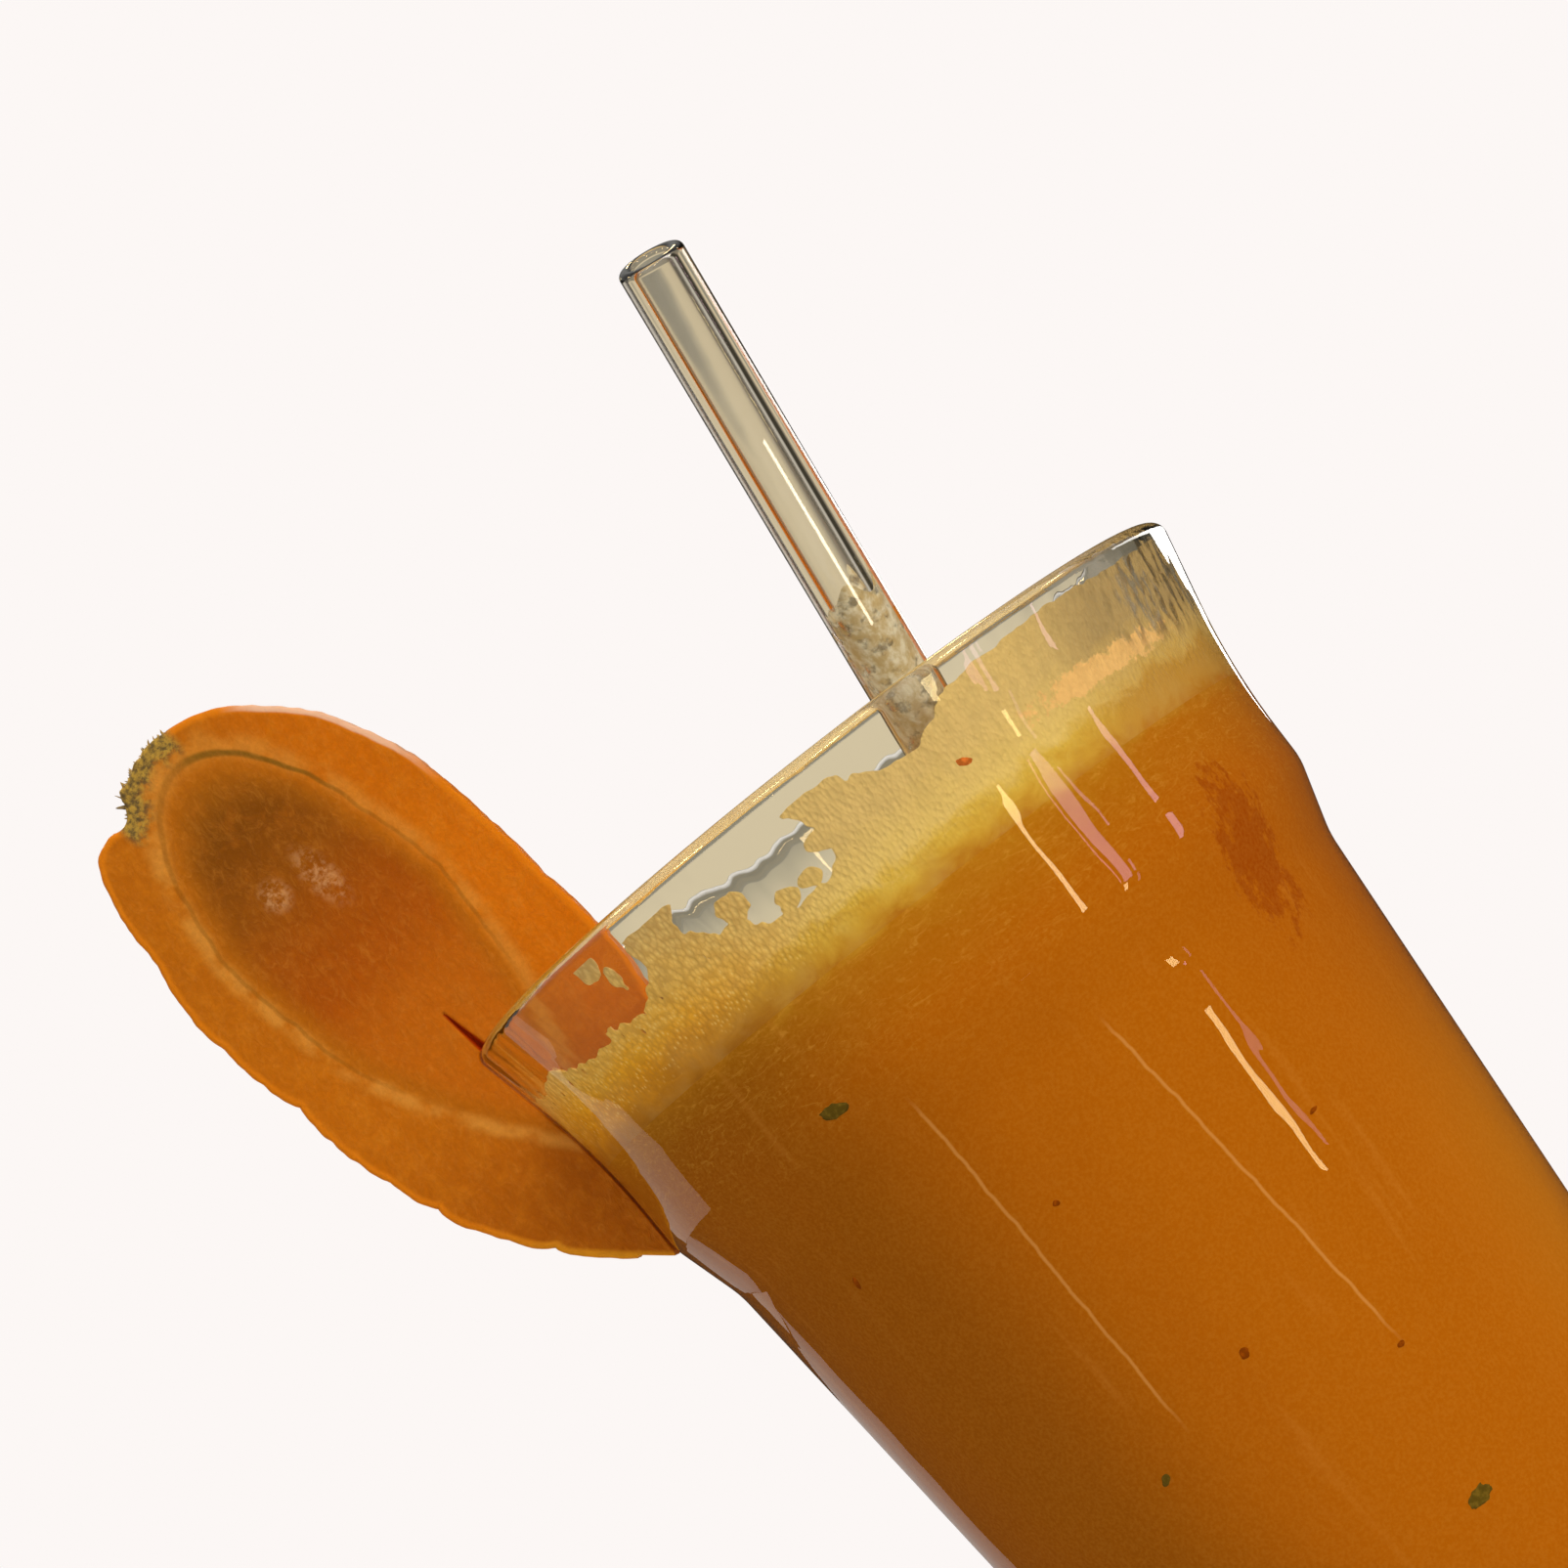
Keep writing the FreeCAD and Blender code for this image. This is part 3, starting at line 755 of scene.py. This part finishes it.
def slice_layer(push, height, side):
    """Places for one layer of the slice: pushed out past its rim, and so high to one side."""
    layer = []
    for number, (u, v) in enumerate(points):
        rounding = rounding_at(u, v)
        over = (SLICE_HALF - height) * rounding / RIM_ROUND if height > flat else SLICE_HALF - height
        if number in outward:
            relief = 0.16 * noise.noise(Vector((u * 0.35, v * 0.9, height * side * 0.5)))
            relief *= push if rounding == RIM_ROUND and over_wall(u, v)[0] > 1.5 else 0
            shift = outward[number] * (push * rounding + relief)
            u, v = u + shift.x, v + shift.y
        if push == 0:
            inside = ring_depth(u, v)
            over -= 0.07 * noise.fractal(Vector((u * 0.8, v * 0.35, side * 7)), 1.0, 2.0, 3)
            over += 0.06 * math.exp(-(inside / 0.3) ** 2) - 0.1 / (1 + math.exp(-inside / 0.9))
            over += 1.2 / (1 + math.exp(min(crack(u, v), 5) * 16))
        layer.append(SLICE_PLACE @ (Vector((u, -side * (SLICE_HALF - over), v)) * MM))
    return layer


flat = SLICE_HALF - RIM_ROUND - 1e-6
half_round = [(math.sin(angle), SLICE_HALF - RIM_ROUND * (1 - math.cos(angle)))
              for angle in np.linspace(0, math.pi / 2, 5)]
flank = [(1.0, height) for height in np.linspace(flat, 0, 4)[1:]]
rows = [(push, height, 1) for push, height in half_round + flank]
rows += [(push, height, -1) for push, height in reversed(half_round + flank[:-1])]
layers = [slice_layer(*row) for row in rows]
carrot, starts = skin("carrot_cut", faces, rims, layers)

# The ring, the skin and the crack are stored on the mesh, and the finish follows them.
MARKS = ("ring", "skin", "crack", "along", "across")
marks = np.zeros((len(MARKS), len(carrot.data.vertices)), np.float32)
for start in starts:
    for point, vertex in start.items():
        u, v = points[point]
        marks[:, vertex] = ring_depth(u, v), slice_outline(u, v), crack(u, v), v, u
for name, numbers in zip(MARKS, marks):
    carrot.data.attributes.new(name, "FLOAT", "POINT").data.foreach_set("value", numbers)

# How the core darkens towards its crown: place along the slice in millimetres, and colour.
CORE_SHADES = ((-18, 196, 102, 8), (-12, 192, 98, 7), (-6, 174, 82, 3), (0, 163, 79, 4),
               (6, 146, 78, 7), (12, 128, 70, 6), (19, 142, 82, 10))

material = new_material("cut_carrot")
ring, depth, near_crack, along, across = (put("Attribute", attribute_name=name)["Fac"]
                                          for name in MARKS)
swirl = cloud(2.6, 4, rough=0.65, shift=(2, 8, 1), twist=0.8)
# Flesh round the core: dull gold by the ring, orange outwards and towards +X, browner below.  The
# brighter orange towards +X is painted light from the lamps on that side.
flesh = stain(linear(188, 102, 7), sift(across, 4, 13), 222, 116, 4)
flesh = stain(flesh, sift(along, -12, 6, 0, 0.6) * sift(across, 2, 8), 194, 100, 3)
flesh = stain(flesh, sift(along, 8, -16, 0, 0.4), 206, 110, 4)
flesh = stain(flesh, sift(along, -16, -36, 0, 0.85), 172, 88, 4)
flesh = stain(flesh, sift(swirl, 0.4, 0.75, 0, 0.3), 222, 132, 24)
core = blend(sift(ring, 0.0, 3.4), linear(180, 100, 8), shades(along, CORE_SHADES))
core = stain(core, sift(swirl, 0.45, 0.75, 0, 0.35), 190, 106, 20)
mottle = sift(cloud(0.9, 4, rough=0.7, shift=(7, 7, 3)), 0.4, 0.62) * 0.5
for u, v, wide, high in ((-2.6, 5.2, 1.5, 1.7), (1.9, 3.2, 1.5, 3.4)):  # two pale spots
    spot = sift(hypot((across - u) / wide, (along - v) / high), 1.4, 0.5)
    core = stain(core, spot * mottle, 224, 168, 110)
colour = blend(sift(ring, -0.6, 1.6), flesh, core)
# The ring itself: a pale band, broad on the -X side, with a fine dark line within it.
breaks = sift(cloud(3.5, 3, shift=(5, 2, 5)), 0.3, 0.6)
band = sift(abs(ring + 0.5), 1.4, 0.1) * breaks * sift(across, 6, -6, 0.4, 0.6)
colour = stain(colour, band, 226, 156, 62)
line = sift(abs(ring), 0.3, 0.08) * sift(along, -22, -8, 0, 0.35)
colour = stain(colour, line, 120, 76, 14)
green = sift(across, -1, 3) * sift(along, 4, 14) * sift(abs(ring), 0.3, 0.05)
colour = stain(colour, green * 0.6, 92, 76, 14)
# Fine threads run out from the core, and along it near the ring.
threads = cloud(0.8, 5, (1, 1, 0.5), rough=0.75, twist=1.2)
colour = stain(colour, sift(threads, 0.45, 0.75, 0, 0.24), 226, 146, 52)
colour = stain(colour, sift(cloud(0.4, 2, shift=(0, 9, 0)), 0.35, 0.7, 0.12, 0), 110, 50, 0)
# The skin is brighter than the flesh and yellower towards the tail.  Near the top on its +X side a
# painted highlight makes it nearly white.
rind = stain(linear(228, 128, 12), sift(along, -30, -42), 232, 156, 30)
colour = blend(sift(depth, 1.0, 0.45, 0, 0.7), colour, rind)
pale = sift(depth, 0.75, 0.3) * (sift(across, 7, 10) * sift(along, 0, 8))
colour = stain(colour, pale * 0.8, 244, 224, 200)
# The stub on the crown is dry, dull brown to straw-coloured.
stub = sift(depth + mottle * 1.5, 3.6, 1.6) * sift(along, 16, 18)
stub = stub * (sift(across, 3.0, 1.6) * sift(across, -8.6, -7.4))
dry = sift(cloud(0.6, 4, shift=(1, 2, 3), rough=0.7), 0.35, 0.65)
colour = blend(stub, colour, stain(linear(98, 78, 46), dry, 186, 146, 58))
# Painted shade: the crack is darkened to a deep red-brown.
colour = stain(colour, sift(near_crack, 0.25, 0.0), 176, 50, 2)
show(put("BsdfPrincipled", {
    "Base Color": colour, "Roughness": 0.3, "Specular IOR Level": 0.06,
    "Subsurface Weight": 0.06, "Subsurface Scale": 0.8 * MM,
    "Subsurface Radius": (1.0, 0.45, 0.1), "Normal": bumps(threads + swirl * 0.6, 0.14),
}))
carrot.data.materials.append(material)
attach(carrot, "root")
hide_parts("carrot_slice")

# --- Fibres on the stub -----------------------------------------------------------------------
# Dry torn fibres where the leaves were cut from the crown.  Each is a small bent spike.


def skin_at(u):
    """Where the skin is over a place across the slice, near the crown."""
    low, high = 14.0, 27.0
    for _ in range(20):
        middle = (low + high) / 2
        low, high = (middle, high) if slice_outline(u, middle) > 0 else (low, middle)
    return low


chance = random.Random(12)
places, faces = [], []
for _ in range(80):
    u = chance.uniform(-6.6, 2.2)
    foot = Vector((u, chance.uniform(-2.3, 2.3), skin_at(u) - 0.35))
    way = Vector((chance.uniform(-0.9, 0.6), chance.uniform(-0.5, 0.5), 1)).normalized()
    bend = Vector((chance.uniform(-1, 1), chance.uniform(-1, 1), 0)) * 0.25
    long, thick = chance.uniform(0.5, 1.4), chance.uniform(0.12, 0.3)
    start = len(places)
    across = way.orthogonal().normalized()
    for share in (0, 0.45, 0.8):
        middle = foot + way * long * share + bend * share ** 2
        for side in range(5):
            spoke = Quaternion(way, 2 * math.pi * side / 5) @ across
            places.append(SLICE_PLACE @ ((middle + spoke * thick * (1 - share * 0.75)) * MM))
    places.append(SLICE_PLACE @ ((foot + way * long + bend) * MM))
    faces.append([start + side for side in reversed(range(5))])
    for ring in (start, start + 5):
        for side in range(5):
            onward = (side + 1) % 5
            faces.append((ring + side, ring + onward, ring + 5 + onward, ring + 5 + side))
    faces += [(start + 10 + side, start + 10 + (side + 1) % 5, start + 15) for side in range(5)]
fibres = new_piece("stub_fibres", places, faces)
material = new_material("dry_fibres")
colour = shades(cloud(0.9, 3, shift=(3, 1, 4)),
                ((0.3, 104, 92, 70), (0.5, 168, 130, 54), (0.7, 208, 164, 76)))
show(put("BsdfPrincipled", {"Base Color": colour, "Roughness": 0.7}))
fibres.data.materials.append(material)
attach(fibres, "root")

# --- Bubbles on the froth ---------------------------------------------------------------------
# Single bubbles that stand on the froth, up to three millimetres across, thin and shiny.
# They are scattered over its top by one node tree.

# A thin wet skin: clear when seen straight on, pale and shiny at its edge.
BUBBLE = new_material("bubble_skin")
colour = stain(linear(246, 228, 176), cloud(1.5), 232, 202, 132)
wet = put("BsdfPrincipled", {"Base Color": colour, "Roughness": 0.12})
facing = put("LayerWeight", {"Blend": 0.35})["Facing"]
show(see_through(sift(facing, 0.05, 0.7, 0.75, 0.05), wet))

# The tree scatters squashed balls over a surface and gives them a finish.
tree = bpy.data.node_groups.new("bubbles", "GeometryNodeTree")
for name, kind in (("Geometry", "Geometry"), ("Density", "Float"), ("Smallest", "Float"),
                   ("Largest", "Float"), ("Stretch", "Vector"), ("Finish", "Material")):
    tree.interface.new_socket(name, in_out="INPUT", socket_type=f"NodeSocket{kind}")
tree.interface.new_socket("Geometry", in_out="OUTPUT", socket_type="NodeSocketGeometry")
given = put("NodeGroupInput")
spots = put("GeometryNodeDistributePointsOnFaces", {
    "Mesh": given["Geometry"], "Density": given["Density"], "Seed": 7,
})
ball = put("GeometryNodeMeshUVSphere", {"Segments": 14, "Rings": 8})
chance = put("FunctionNodeRandomValue", {"Seed": 3})[1]
size = put("MapRange", {  # most are small: the size rises with the cube of the chance
    "Value": calc("POWER", chance, 3.0), "To Min": given["Smallest"], "To Max": given["Largest"],
})
scale = put("VectorMath", {0: given["Stretch"], "Scale": size}, operation="SCALE")
turn = put("FunctionNodeRandomValue", {"Seed": 5, 1: (0.3, 0.3, 3.1)}, data_type="FLOAT_VECTOR")
facing = put("FunctionNodeRotateRotation", {
    "Rotation": spots["Rotation"], "Rotate By": turn,
}, rotation_space="LOCAL")
copies = put("GeometryNodeInstanceOnPoints", {
    "Points": spots["Points"], "Instance": ball["Mesh"], "Rotation": facing, "Scale": scale,
})
smooth = put("GeometryNodeSetShadeSmooth", {0: put("GeometryNodeRealizeInstances", {0: copies})})
finish = put("GeometryNodeSetMaterial", {0: smooth, "Material": given["Finish"]})
put("NodeGroupOutput", {0: finish})

ground_rings = [(out, FROTH_TOP + 0.2 * MM) for out in (froth_edge - 1.5 * MM, 12 * MM, 0)]
ground = turned("ground", [(0, FROTH_TOP + 0.1 * MM), *ground_rings], 64)
modifier = ground.modifiers.new("scatter", "NODES")
modifier.node_group = tree
given = {"Density": 6e4, "Smallest": 0.2 * MM, "Largest": 1.5 * MM, "Stretch": (1.0, 1.0, 0.75),
         "Finish": BUBBLE}
for item in tree.interface.items_tree:
    if item.in_out == "INPUT" and item.name in given:
        modifier[item.identifier] = given[item.name]
ready = ground.evaluated_get(bpy.context.evaluated_depsgraph_get())
bubbles = bpy.data.objects.new("froth_bubbles", bpy.data.meshes.new_from_object(ready))
bpy.data.objects.remove(ground)
bpy.context.scene.collection.objects.link(bubbles)
bubbles.visible_shadow = False  # skins this thin shade nothing
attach(bubbles, "root")

# --- Specks in the juice ----------------------------------------------------------------------
# Bits of green herb, brown skin and pulp that lie against the wall.  Each is a thin flake with
# a ragged outline, and the flakes of one kind are one piece.

# Colour by kind, then for each flake its bearing, its height and half length in millimetres, its
# share of width, its turn in degrees and its kind.
FLAKES = {"herb": (90, 70, 18), "skin": (124, 56, 2), "pulp": (176, 92, 34)}
SPECKS = (
    (-27.3, 105.4, 1.5, 0.45, -12, "herb"), (14.5, 42.0, 1.7, 0.5, 10, "herb"),
    (-26.5, 60.4, 0.8, 0.6, 40, "herb"), (-47.5, 91.9, 0.75, 0.5, 75, "skin"),
    (-10.8, 86.4, 0.42, 0.8, 0, "skin"), (-2.3, 65.3, 0.7, 0.7, 60, "skin"),
    (31.4, 78.5, 0.7, 0.35, 10, "skin"), (19.3, 57.1, 0.45, 0.7, 0, "skin"),
    (17.8, 122.9, 1.0, 0.45, -25, "pulp"), (140, 88, 1.2, 0.5, 30, "herb"),
    (-150, 70, 1.0, 0.5, -20, "herb"), (95, 60, 0.8, 0.6, 15, "herb"),
    (178, 52, 0.7, 0.6, 50, "skin"), (-112, 98, 0.7, 0.5, 80, "skin"),
)


def flake(bearing, height, half, share, turn, places, faces):
    """Add one ragged flake that lies in the juice against the wall."""
    sides, start, turn = 18, len(places), math.radians(turn)
    for ring, rise in ((1.0, 0.0), (0.72, 0.07), (0.35, 0.1)):
        for side in range(sides):
            angle = 2 * math.pi * side / sides
            spot = Vector((math.cos(angle), math.sin(angle) * share)) * half * ring
            spot *= 1 + 0.38 * noise.noise(Vector((spot.x * 2.2, spot.y * 2.2, bearing)))
            across = spot.x * math.cos(turn) - spot.y * math.sin(turn)
            along = spot.x * math.sin(turn) + spot.y * math.cos(turn)
            out = wall_radius((height + along) * MM, WALL) + (0.08 + rise) * MM
            angle_out = math.radians(bearing) + across * MM / out
            places.append((out * math.sin(angle_out), -out * math.cos(angle_out),
                           (height + along) * MM))
    for ring in range(2):
        for side in range(sides):
            low, high = start + ring * sides, start + (ring + 1) * sides
            onward = (side + 1) % sides
            faces.append((low + side, low + onward, high + onward, high + side))
    faces.append([start + 2 * sides + side for side in range(sides)])
    faces.append([start + side for side in reversed(range(sides))])


for kind, steps in FLAKES.items():
    places, faces = [], []
    for *spot, made_of in SPECKS:
        if made_of == kind:
            flake(*spot, places, faces)
    flakes = new_piece(f"{kind}_flakes", places, faces)
    material = new_material(f"{kind}_flakes")
    lighter = [min(1, part * 1.7) for part in linear(*steps)]
    colour = blend(sift(cloud(0.5, 3), 0.4, 0.7), linear(*steps), lighter)
    show(put("BsdfPrincipled", {"Base Color": colour, "Roughness": 0.8, "Specular IOR Level": 0.0}))
    flakes.data.materials.append(material)
    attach(flakes, "root")

# --- Studio -----------------------------------------------------------------------------------
# A pale floor that fades out to the backdrop, soft lamps, a room for the glass to mirror, and
# the camera, which looks up a little and leans so that the tumbler tips to the left.

FLOOR_RADIUS = 0.34
BACKDROP = linear(252, 247, 245)
places = [(0, 0, 0)] + [(FLOOR_RADIUS * math.sin(turn), -FLOOR_RADIUS * math.cos(turn), 0)
                        for turn in np.linspace(0, 2 * math.pi, 97)[:-1]]
faces = [(0, 1 + step, 1 + (step + 1) % 96) for step in range(96)]
floor = new_piece("floor", places, faces)
floor.location.z = -0.1 * MM
material = new_material("floor")
away = put("VectorMath", {0: put("TexCoord")["Object"]}, operation="LENGTH")["Value"]
pale = put("BsdfDiffuse", {"Color": linear(246, 243, 240)})
show(see_through(sift(away, 0.13, FLOOR_RADIUS * 0.97), pale))
floor.data.materials.append(material)
floor.visible_glossy = False

# The room seen bent through glass: brightness by bearing, nought behind and 90 degrees at +X.
ROOM = (
    (-180, 0.36, 0.33, 0.27), (-90, 0.34, 0.31, 0.25), (-60, 0.30, 0.20, 0.11),
    (-45, 0.33, 0.30, 0.23), (0, 0.33, 0.30, 0.22), (20, 0.31, 0.28, 0.21),
    (30, 0.05, 0.044, 0.03), (50, 0.05, 0.044, 0.03), (58, 0.70, 0.66, 0.58),
    (110, 0.80, 0.76, 0.70), (150, 0.5, 0.46, 0.4), (180, 0.36, 0.33, 0.27),
)
# How much brighter it is from straight below, 0, to straight above, 1.
LIFT = (
    (0, 0.5, 0.46, 0.4), (0.5, 0.85, 0.83, 0.8), (0.522, 2.1, 1.95, 1.75),
    (0.546, 2.1, 1.95, 1.75), (0.556, 0.9, 0.9, 0.92), (1, 1.6, 1.6, 1.6),
)
world = bpy.data.worlds.new("studio")
bpy.context.scene.world = world
world.use_nodes = True
tree = world.node_tree
tree.nodes.clear()
split = put("SeparateXYZ", {0: put("TexCoord")["Generated"]})
bearing = calc("ARCTAN2", split["X"], split["Y"]) * (0.5 / math.pi) + 0.5
room = ramp(bearing, [((spot + 180) / 360, (*colour, 1)) for spot, *colour in ROOM])
lift = ramp(split["Z"] * 0.5 + 0.5, [(spot, (*colour, 1)) for spot, *colour in LIFT])
room = blend(1.0, room, lift, "MULTIPLY")
path = put("LightPath")
# What glass mirrors between the lamps: a dark room under a pale ceiling.
dim = blend(sift(split["Z"], 0.35, 0.6), (0.035, 0.03, 0.022, 1), (0.5, 0.49, 0.46, 1))
room = blend(path["Is Transmission Ray"], dim, room)
room = blend(path["Is Diffuse Ray"], room, (0.55, 0.54, 0.52, 1))
room = blend(path["Is Camera Ray"], room, BACKDROP)
put("OutputWorld", {"Surface": put("Background", {"Color": room})})


def lamp(name, place, aim, width, height, colour, radiance, glints=False):
    """A soft rectangular lamp, given by how bright its face is.  It either lights the object,
    or only glints on it."""
    data = bpy.data.lights.new(name, "AREA")
    data.shape = "RECTANGLE"
    data.size, data.size_y = width, height
    data.energy = radiance * math.pi * width * height
    data.color = colour
    piece = bpy.data.objects.new(name, data)
    piece.location = place
    piece.rotation_euler = (Vector(aim) - Vector(place)).to_track_quat("-Z", "Y").to_euler()
    piece.visible_glossy = glints
    piece.visible_diffuse = not glints
    piece.visible_transmission = False
    bpy.context.scene.collection.objects.link(piece)
    return piece


def heading(turn, rise=0.0):
    """The way out from the axis at a bearing and a rise."""
    return Vector((math.sin(turn) * math.cos(rise), -math.cos(turn) * math.cos(rise),
                   math.sin(rise)))


CENTRE = (0, 0, 0.09)
lamp("key", (0.55, -0.62, 0.55), CENTRE, 0.45, 0.45, (1, 0.97, 0.93), 6.9)
lamp("fill", (-0.6, -0.7, 0.25), CENTRE, 0.6, 0.6, (0.97, 0.98, 1), 0.6)
lamp("top", (0.05, 0.15, 0.8), CENTRE, 0.5, 0.5, (1, 0.98, 0.95), 2.6)
# Upright lamps that show only as streaks in the wall: bearing, distance, the heights of both
# ends and the width in millimetres, colour and brightness.
for name, bearing, distance, low, high, width, colour, radiance in (
    ("streak_gold", 36, 260, 62, 114, 8, (1, 0.8, 0.4), 12),
    ("streak_rose", 48.2, 260, 62, 110, 4, (1, 0.5, 0.6), 4),
    ("streak_pink", 51, 260, 60, 112, 9, (1, 0.62, 0.8), 3.8),
    ("streak_lilac", 53.8, 260, 74, 104, 4, (0.95, 0.6, 0.85), 3),
    ("streak_violet", 54.5, 260, 24, 58, 6, (0.95, 0.6, 0.75), 2),
    ("streak_yellow", 50, 260, 20, 52, 10, (1, 0.8, 0.35), 11),
    ("streak_thin", 71.5, 260, 70, 106, 8, (1, 0.62, 0.75), 5),
    # Pale panels behind the -X side show as a strip down that edge of the wall, and one behind
    # the +X side, higher than the tumbler mirrors, pales that edge of the straw.
    ("panel", -129, 500, 67, 330, 300, (1, 0.88, 0.78), 0.55),
    ("low_panel", -153, 500, -60, 66, 280, (1, 0.93, 0.88), 0.4),
    ("straw_panel", 138, 500, 124, 182, 420, (1, 0.98, 0.94), 5),
):
    middle = Vector((0, 0, (low + high) / 2 * MM))
    place = middle + heading(math.radians(bearing)) * distance * MM
    lamp(name, place, middle, width * MM, (high - low) * MM, colour, radiance, True)
# A narrow beam from low in front runs a long highlight down the middle of the straw.
GLEAM = Vector((0.0137, -0.041, 0.148))
gleam = lamp("straw_gleam", GLEAM + Vector((0.197, -0.763, -0.616)) * 0.2, GLEAM, 0.04, 0.032,
             (1, 0.9, 0.68), 0.16, True)
gleam.data.spread = math.radians(15)
# Small warm lamps overhead glint along the lip: bearing, rise and brightness.
for bearing, rise, bright in ((-150, 45, 30), (-95, 60, 22), (-40, 38, 40), (-12, 55, 30),
                              (8, 42, 45), (25, 62, 25), (60, 50, 40), (100, 40, 22), (160, 55, 30)):
    place = heading(math.radians(bearing), math.radians(rise)) * 0.8
    lamp(f"glint_{bearing}", place, CENTRE, 0.09, 0.06, (1, 0.72, 0.34), bright, True)

EYE, LOOKED_AT = Vector((0, -0.450, 0.09467)), Vector((-0.0024, 0, 0.1345))
LEAN_IN_VIEW = math.radians(38.17)
camera = bpy.data.objects.new("camera", bpy.data.cameras.new("camera"))
bpy.context.scene.collection.objects.link(camera)
camera.data.sensor_width, camera.data.lens = 36, 105.04  # millimetres
camera.location = EYE
camera.rotation_mode = "QUATERNION"
facing = (LOOKED_AT - EYE).to_track_quat("-Z", "Y")
camera.rotation_quaternion = facing @ Quaternion((0, 0, 1), -LEAN_IN_VIEW)
bpy.context.scene.camera = camera
bpy.context.scene.view_settings.view_transform = "Standard"
